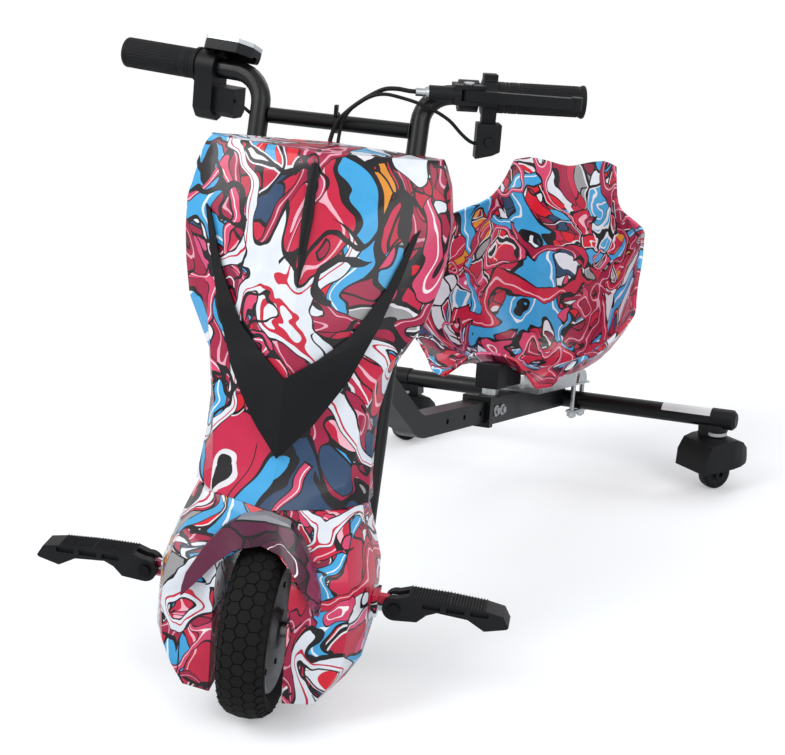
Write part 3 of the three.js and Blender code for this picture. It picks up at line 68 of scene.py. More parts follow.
# Fitted to points of the photograph: the place in metres, then yaw, pitch and roll in degrees
CAMERA_PLACE = Vector((0.7939, -1.6052, 0.8035))
CAMERA_TURN = (27.6, 16.6, -0.8)
LENS_MM = 65.24
SENSOR_MM = 36


def photograph_camera():
    yaw, pitch, roll = (math.radians(a) for a in CAMERA_TURN)
    ahead = Vector(
        (-math.sin(yaw) * math.cos(pitch), math.cos(yaw) * math.cos(pitch), -math.sin(pitch))
    )
    level = Vector((math.cos(yaw), math.sin(yaw), 0))
    upright = level.cross(ahead)
    right = level * math.cos(roll) + upright * math.sin(roll)
    up = right.cross(ahead)
    data = bpy.data.cameras.new("photograph_camera")
    data.lens = LENS_MM
    data.sensor_width = SENSOR_MM
    data.clip_end = 200
    camera = bpy.data.objects.new("photograph_camera", data)
    turn = Matrix((right, up, -ahead)).transposed().to_4x4()
    camera.matrix_world = Matrix.Translation(CAMERA_PLACE) @ turn
    bpy.context.collection.objects.link(camera)
    bpy.context.scene.camera = camera


# Materials


def linear(code):
    """An sRGB hex value as linear colour."""
    parts = [int(code[i : i + 2], 16) / 255 for i in (0, 2, 4)]
    return (*[p / 12.92 if p <= 0.04045 else ((p + 0.055) / 1.055) ** 2.4 for p in parts], 1)


def add(tree, kind, sockets=None, stops=(), steps="LINEAR", **settings):
    """Adds a node with its settings, a ramp's stops, and its sockets set, or linked, by name or
    number, with a list where several links meet. Gives its outputs."""
    made = tree.nodes.new(kind)
    for name, value in settings.items():
        setattr(made, name, value)
    if stops:
        made.color_ramp.interpolation = steps
        while len(made.color_ramp.elements) < len(stops):
            made.color_ramp.elements.new(0.5)
        for element, (position, colour) in zip(made.color_ramp.elements, stops):
            element.position = position
            element.color = colour
    for name, given in (sockets or {}).items():
        for value in given if isinstance(given, list) else [given]:
            if isinstance(value, bpy.types.NodeSocket):
                tree.links.new(value, made.inputs[name])
            else:
                made.inputs[name].default_value = value
    return made.outputs


def blank_material(name):
    made = bpy.data.materials.new(name)
    made.use_nodes = True
    made.node_tree.nodes.clear()
    return made, made.node_tree


def per_metre(size_mm):
    """The scale of a pattern whose features are size_mm apart."""
    return 1000 / size_mm


def surface(tree, sockets):
    shader = add(tree, "ShaderNodeBsdfPrincipled", sockets)[0]
    add(tree, "ShaderNodeOutputMaterial", {"Surface": shader})


def grey(value):
    return (value, value, value, 1)


MATH, VECTOR, MIX = "ShaderNodeMath", "ShaderNodeVectorMath", "ShaderNodeMix"
NOISE, RAMP = "ShaderNodeTexNoise", "ShaderNodeValToRGB"
# The part of the soft noise over which a surface goes from its dark to its light tone
BLOTCH_RANGE = (0.3, 0.7)


def grained(name, dark, light, grain_mm, depth_mm, rough, metallic=0.0, blotch_mm=60, specular=0.5):
    """A plain finish: two close tones in soft blotches, and a grain that the light picks up."""
    made, tree = blank_material(name)
    place = add(tree, "ShaderNodeTexCoord")["Object"]
    soft = {"Vector": place, "Scale": per_metre(blotch_mm), "Detail": 4.0}
    blotch = add(tree, NOISE, soft)["Fac"]
    fine = {"Vector": place, "Scale": per_metre(grain_mm), "Detail": 3.0}
    relief = {"Height": add(tree, NOISE, fine)["Fac"], "Strength": 0.6, "Distance": depth_mm * MM}
    low, high = BLOTCH_RANGE
    tones = [(low, linear(dark)), (high, linear(light))]
    spread = {"From Min": low, "From Max": high, "To Min": rough[0], "To Max": rough[1]}
    surface(
        tree,
        {
            "Base Color": add(tree, RAMP, {"Fac": blotch}, tones)["Color"],
            "Roughness": add(tree, "ShaderNodeMapRange", {"Value": blotch, **spread})["Result"],
            "Metallic": metallic,
            "Specular IOR Level": specular,
            "Normal": add(tree, "ShaderNodeBump", relief)["Normal"],
        },
    )
    return made


# Powder coat: a baked film with a faint orange peel, semi-gloss.
powder_coat = grained(
    "black_powder_coated_steel", "08090a", "0e0f11", 1.6, 0.05, (0.3, 0.42),
    specular=0.28
)
# Polypropylene from a spark-eroded mould: fine even grain, satin.
moulded_black = grained(
    "moulded_black_polypropylene", "0b0c0e", "131417", 0.9, 0.08, (0.42, 0.55),
    specular=0.2
)
# Glass-filled nylon of the casters and pegs: coarser grain, satin.
nylon_black = grained(
    "glass_filled_black_nylon", "0d0e10", "16171a", 1.3, 0.1, (0.46, 0.6),
    specular=0.2
)
# ABS trim left satin in the tool: a soft wide highlight.
satin_trim = grained(
    "satin_black_abs_trim", "0a0a0d", "101114", 1.1, 0.04, (0.36, 0.44),
    specular=0.18
)
# Rubber of the tyre: dull, and slightly uneven in tone.
tyre_rubber = grained(
    "tread_rubber", "0b0b0c", "181817", 1.8, 0.15, (0.66, 0.84),
    blotch_mm=22, specular=0.16
)
# Thermoplastic rubber of the grips: dull and close-grained.
grip_rubber = grained(
    "moulded_grip_rubber", "0c0c0e", "141517", 0.8, 0.08, (0.58, 0.74),
    specular=0.2
)
# Polyurethane of the caster wheels: hard and smooth.
caster_tread = grained(
    "black_polyurethane", "0b0c0d", "141517", 2.2, 0.05, (0.35, 0.5),
    specular=0.24
)
# Bright zinc plate: a thin metal coat, faintly cloudy.
zinc_plate = grained(
    "bright_zinc_plate", "a6a9ab", "babdbf", 2.4, 0.03, (0.22, 0.42),
    metallic=1.0, blotch_mm=9
)
# Die-cast aluminium of the hub motor: matt and slightly mottled.
cast_aluminium = grained(
    "satin_cast_aluminium", "7f8285", "989b9e", 1.2, 0.05, (0.42, 0.54),
    metallic=0.25, blotch_mm=14
)
# Silver paint over ABS: smooth, with a soft metallic sheen.
silver_paint = grained(
    "silver_painted_abs", "b2b6bb", "bec2c7", 0.7, 0.02, (0.26, 0.34),
    metallic=0.3
)
# Black-oxide screws: dark steel with a low sheen.
dark_screw = grained(
    "black_oxide_steel", "101113", "1c1d1f", 1.0, 0.02, (0.34, 0.46),
    metallic=0.8
)
# PVC sleeve of the cords: even black with a dull sheen.
cord_sheath = grained("pvc_cord_sheath", "0a0b0c", "121315", 1.4, 0.04, (0.5, 0.62), specular=0.22)
# Shrink wrap round the battery: dark blue and shiny.
battery_film = grained("blue_pvc_shrink_wrap", "10233f", "17305a", 5.0, 0.2, (0.22, 0.36))
# Drawn aluminium case of the controller.
drawn_aluminium = grained(
    "drawn_aluminium", "8b8e91", "a3a6a9", 0.9, 0.03, (0.36, 0.5),
    metallic=1.0
)
# Plain white vinyl strip with nothing on it: smooth, faintly shiny.
white_vinyl = grained("white_vinyl_strip", "d9dbdc", "e8eaea", 3.0, 0.01, (0.35, 0.45))
# Nylon of the spacer on each caster's swivel: pale grey with a dull sheen.
pale_nylon = grained("pale_grey_nylon", "b9bcbf", "cdd0d2", 1.5, 0.03, (0.4, 0.5))

PALETTE = [
    (0.0, "c01d3e"),
    (0.14, "dd1830"),
    (0.27, "8a2040"),
    (0.36, "e5e9f0"),
    (0.46, "4aa9dd"),
    (0.54, "c8234a"),
    (0.65, "d8507f"),
    (0.72, "a01f45"),
    (0.80, "2b4668"),
    (0.85, "e7edf4"),
    (0.92, "e0912f"),
    (0.955, "9b9a9c"),
]
LIP_PALETTE = [
    (0.0, "4a1530"),
    (0.3, "5c1c3a"),
    (0.5, "3a1228"),
    (0.7, "7a2347"),
    (0.88, "56193a"),
]
# Brush strokes over the patches: size against the patches, level, half width, paint, inner line
STROKES = [
    (2.1, 0.50, 0.033, "41a6de", "eaf3fb"),
    (1.7, 0.46, 0.042, "c81f42", "f3b6c4"),
    (1.1, 0.50, 0.034, "a51d44", "e9a5b8"),
    (1.0, 0.55, 0.020, "d9466f", "fff1f4"),
    (1.5, 0.53, 0.036, "e4e9f1", "c9203c"),
    (0.8, 0.47, 0.007, "17121a", "17121a"),
]
INK = "131015"
PAPER_WHITE = "e9e4ea"

# The patches' edges are bent twice: each bend's size and reach, in patch widths
LARGE_BEND = (2.6, 1.5)
SMALL_BEND = (0.7, 0.34)
# Lines along the edges of the large patches, and of the chips, in patch widths
OUTLINE_INK, OUTLINE_WHITE = 0.024, 0.046
CHIP_SIZE, CHIP_INK = 0.36, 0.036
# Contour bands inside a patch: how many, the filled share, and each line's level, half width and
# colour
BANDS = 7.0
BAND_SHARE = 0.34
BAND_LINES = ((0.36, 0.03, INK), (0.72, 0.022, "f1e9ee"))
# A patch has bands, chips or a white outline where its random number is above these
BANDED, CHIPPED, WHITE_EDGED = 0.42, 0.62, 0.3
# A stroke's ink edge, the noise that ends it, and the line inside it in half widths
STROKE_INK = 0.008
STROKE_END_SIZE, STROKE_END_LEVEL = 1.4, 0.52
INNER_LINE_AT, INNER_LINE_HALF = 0.42, 0.12


def layered(tree, tone, layers, where=1.0):
    """Lays each paint in turn over the tone, as far as its mask and where are both 1."""
    for mask, paint in layers:
        share = add(tree, MATH, {0: mask, 1: where}, operation="MULTIPLY")[0]
        tone = add(tree, MIX, {0: share, 6: tone, 7: paint}, data_type="RGBA")[2]
    return tone


def bent(tree, at, size_mm, reach_mm):
    """Places pushed up to reach_mm aside by a soft noise, so straight edges curl."""
    wave = {"Vector": at, "Scale": per_metre(size_mm), "Detail": 1.5, "W": 0.0}
    field = add(tree, NOISE, wave, noise_dimensions="4D")["Color"]
    centred = add(tree, VECTOR, {0: field, 1: (0.5, 0.5, 0.5)}, operation="SUBTRACT")[0]
    push = {0: centred, "Scale": 2 * reach_mm * MM}
    pushed = add(tree, VECTOR, push, operation="SCALE")[0]
    return add(tree, VECTOR, {0: at, 1: pushed}, operation="ADD")[0]


def patches(tree, at, size_mm):
    """Random numbers that are one for each patch, and the distance to the patch's edge."""
    sockets = {"Vector": at, "Scale": per_metre(size_mm)}
    cells = add(tree, "ShaderNodeTexVoronoi", sockets)["Color"]
    edge = add(tree, "ShaderNodeTexVoronoi", sockets, feature="DISTANCE_TO_EDGE")["Distance"]
    return add(tree, "ShaderNodeSeparateColor", {"Color": cells}), edge


def brush_stroke(tree, tone, at, size_mm, seed, level, half, paint, inner_line):
    """A curved stroke of flat paint with an ink outline and a thin line inside it."""
    wave = {"Vector": at, "Scale": per_metre(size_mm), "Detail": 0.7, "W": seed}
    field = add(tree, NOISE, wave, noise_dimensions="4D")["Fac"]
    apart = add(tree, MATH, {0: field, 1: level}, operation="SUBTRACT")[0]
    away = add(tree, MATH, {0: apart}, operation="ABSOLUTE")[0]
    size = per_metre(STROKE_END_SIZE * size_mm)
    wave = {"Vector": at, "Scale": size, "Detail": 0.0, "W": seed + 5.0}
    ended = add(tree, NOISE, wave, noise_dimensions="4D")["Fac"]
    beyond = add(tree, MATH, {0: STROKE_END_LEVEL, 1: ended}, operation="SUBTRACT")[0]
    beyond = add(tree, MATH, {0: beyond, 1: 0.5}, operation="MULTIPLY")[0]
    away = add(tree, MATH, {0: away, 1: beyond}, operation="MAXIMUM")[0]
    edged = add(tree, MATH, {0: away, 1: half + STROKE_INK}, operation="LESS_THAN")[0]
    inside = add(tree, MATH, {0: away, 1: half}, operation="LESS_THAN")[0]
    sockets = {0: field, 1: level + INNER_LINE_AT * half, 2: INNER_LINE_HALF * half}
    line = add(tree, MATH, sockets, operation="COMPARE")[0]
    tone = layered(tree, tone, [(edged, linear(INK)), (inside, linear(paint))])
    return layered(tree, tone, [(line, linear(inner_line))], inside)


def wheel_radius(tree, at):
    """The distance in metres from the front wheel's axle line."""
    turn = tuple(WHEEL.to_euler())
    sockets = {"Vector": at, "Location": WHEEL.translation, "Rotation": turn}
    local = add(tree, "ShaderNodeMapping", sockets, vector_type="TEXTURE")[0]
    flat = add(tree, VECTOR, {0: local, 1: (0, 1, 1)}, operation="MULTIPLY")[0]
    return add(tree, VECTOR, {0: flat}, operation="LENGTH")["Value"]


def water_transfer_film(
    name, palette, patch_mm, offset=(0, 0, 0), calm=0.0, strokes=(), highlight_rim=None
):
    """Hydro-dipped ABS: an abstract printed film under clear lacquer, in curling patches of flat
    colour with inked outlines, contour lines and small chips, and brush strokes laid over them.
    A calm film has fewer lines. A highlight rim is a painted highlight: a plain band outside a
    radius from the wheel's axle, standing for the light on the lip's raised edge, with the width of
    its ink line and its colour."""
    made, tree = blank_material(name)
    whole = add(tree, "ShaderNodeTexCoord")["Object"]
    place = add(tree, "ShaderNodeMapping", {"Vector": whole, "Location": offset})["Vector"]
    curled = place
    for size, reach in (LARGE_BEND, SMALL_BEND):
        curled = bent(tree, curled, size * patch_mm, reach * patch_mm)
    stops = [(position, linear(code)) for position, code in palette]
    large, large_edge = patches(tree, curled, patch_mm)
    tone = add(tree, RAMP, {"Fac": large[0]}, stops, "CONSTANT")["Color"]

    # contour lines curl inside some of the patches
    wave = {"Vector": curled, "Scale": per_metre(1.3 * patch_mm), "Detail": 0.6, "W": 0.0}
    flow = add(tree, NOISE, wave, noise_dimensions="4D")["Fac"]
    band = add(tree, MATH, {0: flow, 1: BANDS}, operation="MULTIPLY")[0]
    band = add(tree, MATH, {0: band}, operation="FRACT")[0]
    other = add(tree, MATH, {0: large[0], 1: 0.37}, operation="ADD")[0]
    other = add(tree, MATH, {0: other}, operation="FRACT")[0]
    wide = add(tree, MATH, {0: band, 1: BAND_SHARE}, operation="LESS_THAN")[0]
    layers = [(wide, add(tree, RAMP, {"Fac": other}, stops, "CONSTANT")["Color"])]
    for level, half, code in BAND_LINES:
        line = add(tree, MATH, {0: band, 1: level, 2: half}, operation="COMPARE")[0]
        layers.append((line, linear(code)))
    lined = add(tree, MATH, {0: large[1], 1: BANDED + calm}, operation="GREATER_THAN")[0]
    tone = layered(tree, tone, layers, lined)

    # smaller chips fill the busier patches
    small, small_edge = patches(tree, curled, CHIP_SIZE * patch_mm)
    chips = add(tree, RAMP, {"Fac": small[0]}, stops, "CONSTANT")["Color"]
    chip_line = add(tree, MATH, {0: small_edge, 1: CHIP_INK}, operation="LESS_THAN")[0]
    busy = add(tree, MATH, {0: large[2], 1: CHIPPED + calm}, operation="GREATER_THAN")[0]
    tone = layered(tree, tone, [(1.0, chips), (chip_line, linear(INK))], busy)

    # outlines of the large patches: ink, with a white line beside some of it
    white = add(tree, MATH, {0: large_edge, 1: OUTLINE_WHITE}, operation="LESS_THAN")[0]
    chosen = {0: large[1], 1: WHITE_EDGED + 4 * calm}
    outlined = add(tree, MATH, chosen, operation="GREATER_THAN")[0]
    tone = layered(tree, tone, [(white, linear(PAPER_WHITE))], outlined)
    inked = add(tree, MATH, {0: large_edge, 1: OUTLINE_INK}, operation="LESS_THAN")[0]
    tone = layered(tree, tone, [(inked, linear(INK))])

    for seed, (size, level, half, paint, inner_line) in enumerate(strokes):
        tone = brush_stroke(
            tree, tone, curled, size * patch_mm, 3.0 * seed, level, half, paint, inner_line
        )
    # the highlight rim is a painted highlight: grey paint beyond the radius stands in for the light
    # on the lip's raised edge
    if highlight_rim:
        radius, line_mm, code = highlight_rim
        out = wheel_radius(tree, whole)
        rim = add(tree, MATH, {0: out, 1: radius * MM}, operation="GREATER_THAN")[0]
        sockets = {0: out, 1: radius * MM, 2: line_mm / 2 * MM}
        edge = add(tree, MATH, sockets, operation="COMPARE")[0]
        tone = layered(tree, tone, [(rim, linear(code)), (edge, linear(INK))])

    # painted shading: a soft random darkening in blotches 18 mm across stands in for the gradients
    # of light inside the patches; and the lacquer's faint ripple
    wave = {"Vector": place, "Scale": per_metre(18), "Detail": 5.0, "W": 0.0}
    shading_blotches = add(tree, NOISE, wave, noise_dimensions="4D")["Fac"]
    painted_shade = add(tree, RAMP, {"Fac": shading_blotches}, [(0.3, grey(0.8)), (0.72, grey(1.0))])["Color"]
    mixed = {0: 0.6, 6: tone, 7: painted_shade}
    wave = {"Vector": place, "Scale": per_metre(26), "Detail": 2.0, "W": 0.0}
    ripple = add(tree, NOISE, wave, noise_dimensions="4D")["Fac"]
    relief = {"Height": ripple, "Strength": 0.35, "Distance": 0.3 * MM}
    surface(
        tree,
        {
            "Base Color": add(tree, MIX, mixed, data_type="RGBA", blend_type="MULTIPLY")[2],
            "Roughness": 0.34,
            "Specular IOR Level": 0.24,
            "Coat Weight": 0.22,
            "Coat Roughness": 0.08,
            "Normal": add(tree, "ShaderNodeBump", relief)["Normal"],
        },
    )
    return made


shield_film = water_transfer_film("hydro_dipped_abs_shield", PALETTE, 78, strokes=STROKES)
cover_film = water_transfer_film(
    "hydro_dipped_abs_covers", PALETTE, 60, (0.4, 0.1, 0.3), strokes=STROKES
)
seat_film = water_transfer_film(
    "hydro_dipped_abs_seat", PALETTE, 70, (1.3, 0.7, 0.2), strokes=STROKES[:4]
)
# The lip's grey rim, beyond 131 mm from the axle, is a painted highlight on its raised edge.
lip_film = water_transfer_film(
    "hydro_dipped_abs_lip", LIP_PALETTE, 70, (0.2, 0.9, 0.5), 0.2, highlight_rim=(131.0, 1.8, "8f8f95")
)


# Pieces from the solids


def plain_object(name, mesh):
    made = bpy.data.objects.new(name, mesh)
    bpy.context.collection.objects.link(made)
    return made


def settled(made, material):
    """The modifiers' result as a plain mesh at the origin, in one material."""
    bpy.context.view_layer.update()
    graph = bpy.context.evaluated_depsgraph_get()
    mesh = bpy.data.meshes.new_from_object(made.evaluated_get(graph))
    made.modifiers.clear()
    made.data = mesh
    mesh.materials.clear()
    mesh.materials.append(material)
    return made


def body_of_node(node):
    bodies = frame["record"]["behaviour"]["bodies"]
    return next(name for name, nodes in bodies.items() if node in nodes)


def smooth_step(low, high, value):
    share = min(1, max(0, (value - low) / (high - low)))
    return share * share * (3 - 2 * share)


# The seat's middle, how deep the dips between its lobes are, and where they lie across and up
SEAT_MIDDLE = 6.8
LOBE_DIP = 9
VALLEY_WIDTH = 30
CORNERS = (60, 88)
BACK_TOP = (425, 488)


def seat_back_lobes(point):
    """Lowers the middle and the corners of the seat back's top edge, which leaves two lobes."""
    across = abs(point.x / MM - SEAT_MIDDLE)
    drop = LOBE_DIP * math.exp(-((across / VALLEY_WIDTH) ** 2))
    drop += LOBE_DIP * smooth_step(*CORNERS, across)
    point.z -= drop * smooth_step(*BACK_TOP, point.z / MM) * MM


# Nodes whose points are moved before their edges are rounded
RESHAPED = {"seat_shell": seat_back_lobes}

# The least turn, in degrees, of an edge that is rounded, and of one that is shaded sharp
CREASE = 32
SHARP = 38
ROUNDING_STEPS = 3
# Points closer than this, in metres, are one point, and faces that turn less, in degrees, are flat
SAME_POINT = 2e-6
FLAT = 0.8


def mark_edges(form, shortest_mm):
    """Gives the bevel the edges that turn sharply, except those shorter than shortest_mm."""
    weights = form.edges.layers.float.new("bevel_weight_edge")
    for edge in form.edges:
        sharp = edge.calc_face_angle(0) > math.radians(CREASE)
        edge[weights] = float(sharp and edge.calc_length() >= shortest_mm * MM)


def softened(node, material, edge_mm, shortest_mm=0):
    """A node's solid with its edges rounded and its curved faces smooth."""
    form = bmesh.new()
    form.from_mesh(bpy.data.objects[node].data)
    bmesh.ops.remove_doubles(form, verts=form.verts, dist=SAME_POINT)
    if node in RESHAPED:
        for vertex in form.verts:
            RESHAPED[node](vertex.co)
    bmesh.ops.dissolve_limit(
        form, angle_limit=math.radians(FLAT), verts=form.verts, edges=form.edges
    )
    bmesh.ops.recalc_face_normals(form, faces=form.faces)
    mark_edges(form, shortest_mm)
    mesh = bpy.data.meshes.new(node + "_made")
    form.to_mesh(mesh)
    form.free()
    made = plain_object(node + "_made", mesh)
    mesh.shade_smooth()
    bevel = made.modifiers.new("rounded", "BEVEL")
    bevel.width = edge_mm * MM
    bevel.segments = ROUNDING_STEPS
    bevel.limit_method = "WEIGHT"
    settled(made, material)
    made.data.shade_smooth()
    made.data.set_sharp_from_angle(angle=math.radians(SHARP))
    weighted = made.modifiers.new("even", "WEIGHTED_NORMAL")
    weighted.keep_sharp = True
    settled(made, material)
    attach(made, body_of_node(node))
    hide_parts(node)


# Each node's material, the width of its rounded edges in mm, and, for one node, the shortest edge
# that is rounded
FINISHES = {
    "front_axle": (zinc_plate, 0.4),
    "axle_plate_left": (powder_coat, 0.8),
    "axle_plate_right": (powder_coat, 0.8),
    "handlebar_left": (powder_coat, 0.4),
    "handlebar_right": (powder_coat, 0.4),
    "crossbar": (powder_coat, 0.4),
    "steering_stem": (powder_coat, 0.8),
    "battery_pack": (battery_film, 2.5),
    "motor_controller": (drawn_aluminium, 1.5),
    "front_shield": (shield_film, 1.2),
    "shield_back": (moulded_black, 0.8),
    "chevron_trim": (satin_trim, 1.0),
    "centre_trim": (satin_trim, 1.0),
    "arch_lip": (lip_film, 1.5),
    "lower_cover_left": (cover_film, 1.2),
    "lower_cover_right": (cover_film, 1.2),
    "foot_peg_left": (nylon_black, 0.6),
    "foot_peg_right": (nylon_black, 0.6),
    "peg_bracket_left": (cover_film, 0.8),
    "peg_bracket_right": (cover_film, 0.8),
    "peg_bolt_left": (dark_screw, 0.4),
    "peg_bolt_right": (dark_screw, 0.4),
    "throttle_housing": (moulded_black, 3.2),
    "display_base": (moulded_black, 2.2),
    "display_cover": (silver_paint, 2.4),
    "power_button": (moulded_black, 0.4),
    "horn_switch": (moulded_black, 2.2, 9),
    "horn_button": (moulded_black, 0.4),
    "brake_bracket": (moulded_black, 0.8),
    "brake_lever": (moulded_black, 1.0),
    "lever_pin": (zinc_plate, 0.4),
    "cable_adjuster": (zinc_plate, 0.3),
    "cable_tie": (moulded_black, 0.3),
    "head_tube": (powder_coat, 0.6),
    "main_beam": (powder_coat, 1.6),
    "rear_sleeve": (powder_coat, 1.4),
    "clamp_bolt_front": (zinc_plate, 0.4),
    "clamp_bolt_rear": (zinc_plate, 0.4),
    "cross_tube": (powder_coat, 0.4),
    "tube_cap_left": (moulded_black, 1.2),
    "tube_cap_right": (moulded_black, 1.2),
    "caster_socket_left": (powder_coat, 0.5),
    "caster_socket_right": (powder_coat, 0.5),
    "caster_hood_left": (nylon_black, 1.4),
    "caster_hood_right": (nylon_black, 1.4),
    "seat_shell": (seat_film, 1.6),
    "seat_channel": (zinc_plate, 0.5),
    "seat_u_bolt_left": (zinc_plate, 0.3),
    "seat_u_bolt_right": (zinc_plate, 0.3),
    "seat_block": (moulded_black, 2.0),
    "seat_block_nut": (zinc_plate, 0.5),
}


# Pieces made here


def shaped(name, points, faces, place, material, body, crease=40):
    """A mesh from points in mm in its own drawing frame, set in the row by place."""
    mesh = bpy.data.meshes.new(name)
    mesh.from_pydata([place @ (Vector(p) * MM) for p in points], [], faces)
    form = bmesh.new()
    form.from_mesh(mesh)
    bmesh.ops.remove_doubles(form, verts=form.verts, dist=1e-6)
    bmesh.ops.recalc_face_normals(form, faces=form.faces)
    form.to_mesh(mesh)
    form.free()
    mesh.materials.append(material)
    mesh.shade_smooth()
    mesh.set_sharp_from_angle(angle=math.radians(crease))
    made = plain_object(name, mesh)
    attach(made, body)
    return made


def turned(name, profile, place, material, body, count=96, crease=40):
    """A closed profile of (place along X, radius) pairs turned about X."""
    points = []
    for x, radius in profile:
        for k in range(count):
            angle = 2 * math.pi * k / count
            points.append((x, radius * math.cos(angle), radius * math.sin(angle)))
    faces = []
    rings = len(profile)
    for i in range(rings):
        for k in range(count):
            j, m = (i + 1) % rings, (k + 1) % count
            faces.append((i * count + k, i * count + m, j * count + m, j * count + k))
    return shaped(name, points, faces, place, material, body, crease)


def both_sides(half):
    """A profile's right half, mirrored to the left and closed."""
    return half + [(-x, radius) for x, radius in reversed(half)]


def grown(name, inputs, build, place, material, body, crease=30):
    """Runs a Geometry Nodes tree once and keeps the result as a plain mesh. Its inputs are named
    counts, which are whole numbers, and named sizes in mm, which the tree gets in metres."""
    tree = bpy.data.node_groups.new(name, "GeometryNodeTree")
    identifiers = {}
    for label, value in inputs.items():
        kind = "NodeSocketInt" if isinstance(value, int) else "NodeSocketFloat"
        socket = tree.interface.new_socket(label, in_out="INPUT", socket_type=kind)
        identifiers[socket.identifier] = value
    tree.interface.new_socket("Geometry", in_out="OUTPUT", socket_type="NodeSocketGeometry")
    given = add(tree, "NodeGroupInput")
    real = add(tree, "GeometryNodeRealizeInstances", {"Geometry": build(tree, given)})[0]
    dressed = add(tree, "GeometryNodeSetMaterial", {"Geometry": real, "Material": material})[0]
    add(tree, "NodeGroupOutput", {0: dressed})
    made = plain_object(name, bpy.data.meshes.new(name))
    modifier = made.modifiers.new(name, "NODES")
    modifier.node_group = tree
    for identifier, value in identifiers.items():
        modifier[identifier] = value if isinstance(value, int) else value * MM
    settled(made, material)
    made.data.transform(place)
    made.data.shade_smooth()
    made.data.set_sharp_from_angle(angle=math.radians(crease))
    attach(made, body)
    return made


def ring_of(tree, shape, count, phase):
    """Copies of a shape turned about X, evenly round the circle."""
    spots = add(tree, "GeometryNodeMeshLine", {"Count": count, "Offset": (0, 0, 0)})[0]
    index = add(tree, "GeometryNodeInputIndex")[0]
    step = add(tree, MATH, {0: 2 * math.pi, 1: count}, operation="DIVIDE")[0]
    place = add(tree, MATH, {0: index, 1: phase}, operation="ADD")[0]
    angle = add(tree, MATH, {0: place, 1: step}, operation="MULTIPLY")[0]
    turn = add(tree, "ShaderNodeCombineXYZ", {0: angle})[0]
    sockets = {"Points": spots, "Instance": shape, "Rotation": turn}
    return add(tree, "GeometryNodeInstanceOnPoints", sockets)[0]


def tread_blocks(tree, given):
    """Hexagonal blocks in five staggered rows, so the grooves between them run in zigzags."""
    height = given["Block height"]
    rows = []
    for row, (across, lift, tilt, share) in enumerate(TREAD_ROWS):
        radius = add(tree, MATH, {0: given["Block radius"], 1: share}, operation="MULTIPLY")[0]
        top = add(tree, MATH, {0: radius, 1: BLOCK_TAPER}, operation="MULTIPLY")[0]
        sizes = {"Vertices": 6, "Radius Top": top, "Radius Bottom": radius, "Depth": height}
        block = add(tree, "GeometryNodeMeshCone", sizes)[0]
        out = add(tree, MATH, {0: given["Crown radius"], 1: lift * MM}, operation="ADD")[0]
        spot = add(tree, "ShaderNodeCombineXYZ", {0: across * MM, 2: out})[0]
        placed = {"Geometry": block, "Translation": spot, "Rotation": (0, math.radians(tilt), 0)}
        lifted = add(tree, "GeometryNodeTransform", placed)[0]
        rows.append(ring_of(tree, lifted, given["Blocks round"], 0.5 * (row % 2)))
    return add(tree, "GeometryNodeJoinGeometry", {0: rows})[0]


def hub_screws(tree, given):
    """A ring of low screw heads on each side of the hub."""
    sides = []
    for side in (-1, 1):
        sizes = {"Vertices": 16, "Radius": given["Head radius"], "Depth": given["Head height"]}
        head = add(tree, "GeometryNodeMeshCylinder", sizes)[0]
        spot = {0: side * SCREW_REACH * MM, 2: given["Ring radius"]}
        spot = add(tree, "ShaderNodeCombineXYZ", spot)[0]
        placed = {"Geometry": head, "Translation": spot, "Rotation": (0, math.pi / 2, 0)}
        lifted = add(tree, "GeometryNodeTransform", placed)[0]
        sides.append(ring_of(tree, lifted, given["Count"], 0.25))
    return add(tree, "GeometryNodeJoinGeometry", {0: sides})[0]


# Each row's place across the tyre, its drop below the crown, its tilt in degrees and its share of
# the block's size
TREAD_ROWS = [
    (-21.2, -5.75, -36, 0.62),
    (-11.9, -1.5, -13, 1),
    (0, 0, 0, 1),
    (11.9, -1.5, 13, 1),
    (21.2, -5.75, 36, 0.62),
]
BLOCK_TAPER = 0.96
# How many blocks a row has, and the blocks' and the crown's sizes in mm
TREAD_SIZES = {
    "Blocks round": 44,
    "Block radius": 7.8,
    "Block height": 1.9,
    "Crown radius": 97.85,
}
# The right halves of the tyre's and the hub's sections: place across and radius, in mm
TYRE_SECTION = [
    *[(0, 98.4), (6, 98.2), (12, 97.0), (17, 95.3), (21, 93.0), (24.2, 90.2), (25.9, 86.6)],
    *[(25.6, 82.4), (24.2, 79), (22.6, 77.2), (21.4, 76.6), (20.4, 74.4), (18.4, 72.4)],
]
HUB_SECTION = [
    *[(22.9, 6.4), (22.9, 20), (22.4, 21.2), (18.2, 22.6), (16.1, 24), (16.1, 32)],
    *[(16.1, 58), (17.2, 61.2), (21.4, 66.0), (22.0, 67.6), (20.6, 70.2), (19.2, 71.2)],
    (18.2, 71.7),
]
# The raised rings on the tyre's sides: radius and place across, then half their section across
# and up, in mm
SIDEWALL_BEADS = {"outer": (88.2, 25.6), "inner": (81.0, 25.0)}
BEAD_ACROSS, BEAD_UP = 0.5, 0.7
# The hub cover's screws, in mm, and how far their middles are from the wheel's middle plane
SCREW_SIZES = {"Count": 6, "Ring radius": 50.0, "Head radius": 3.4, "Head height": 2.2}
SCREW_REACH = 16.6


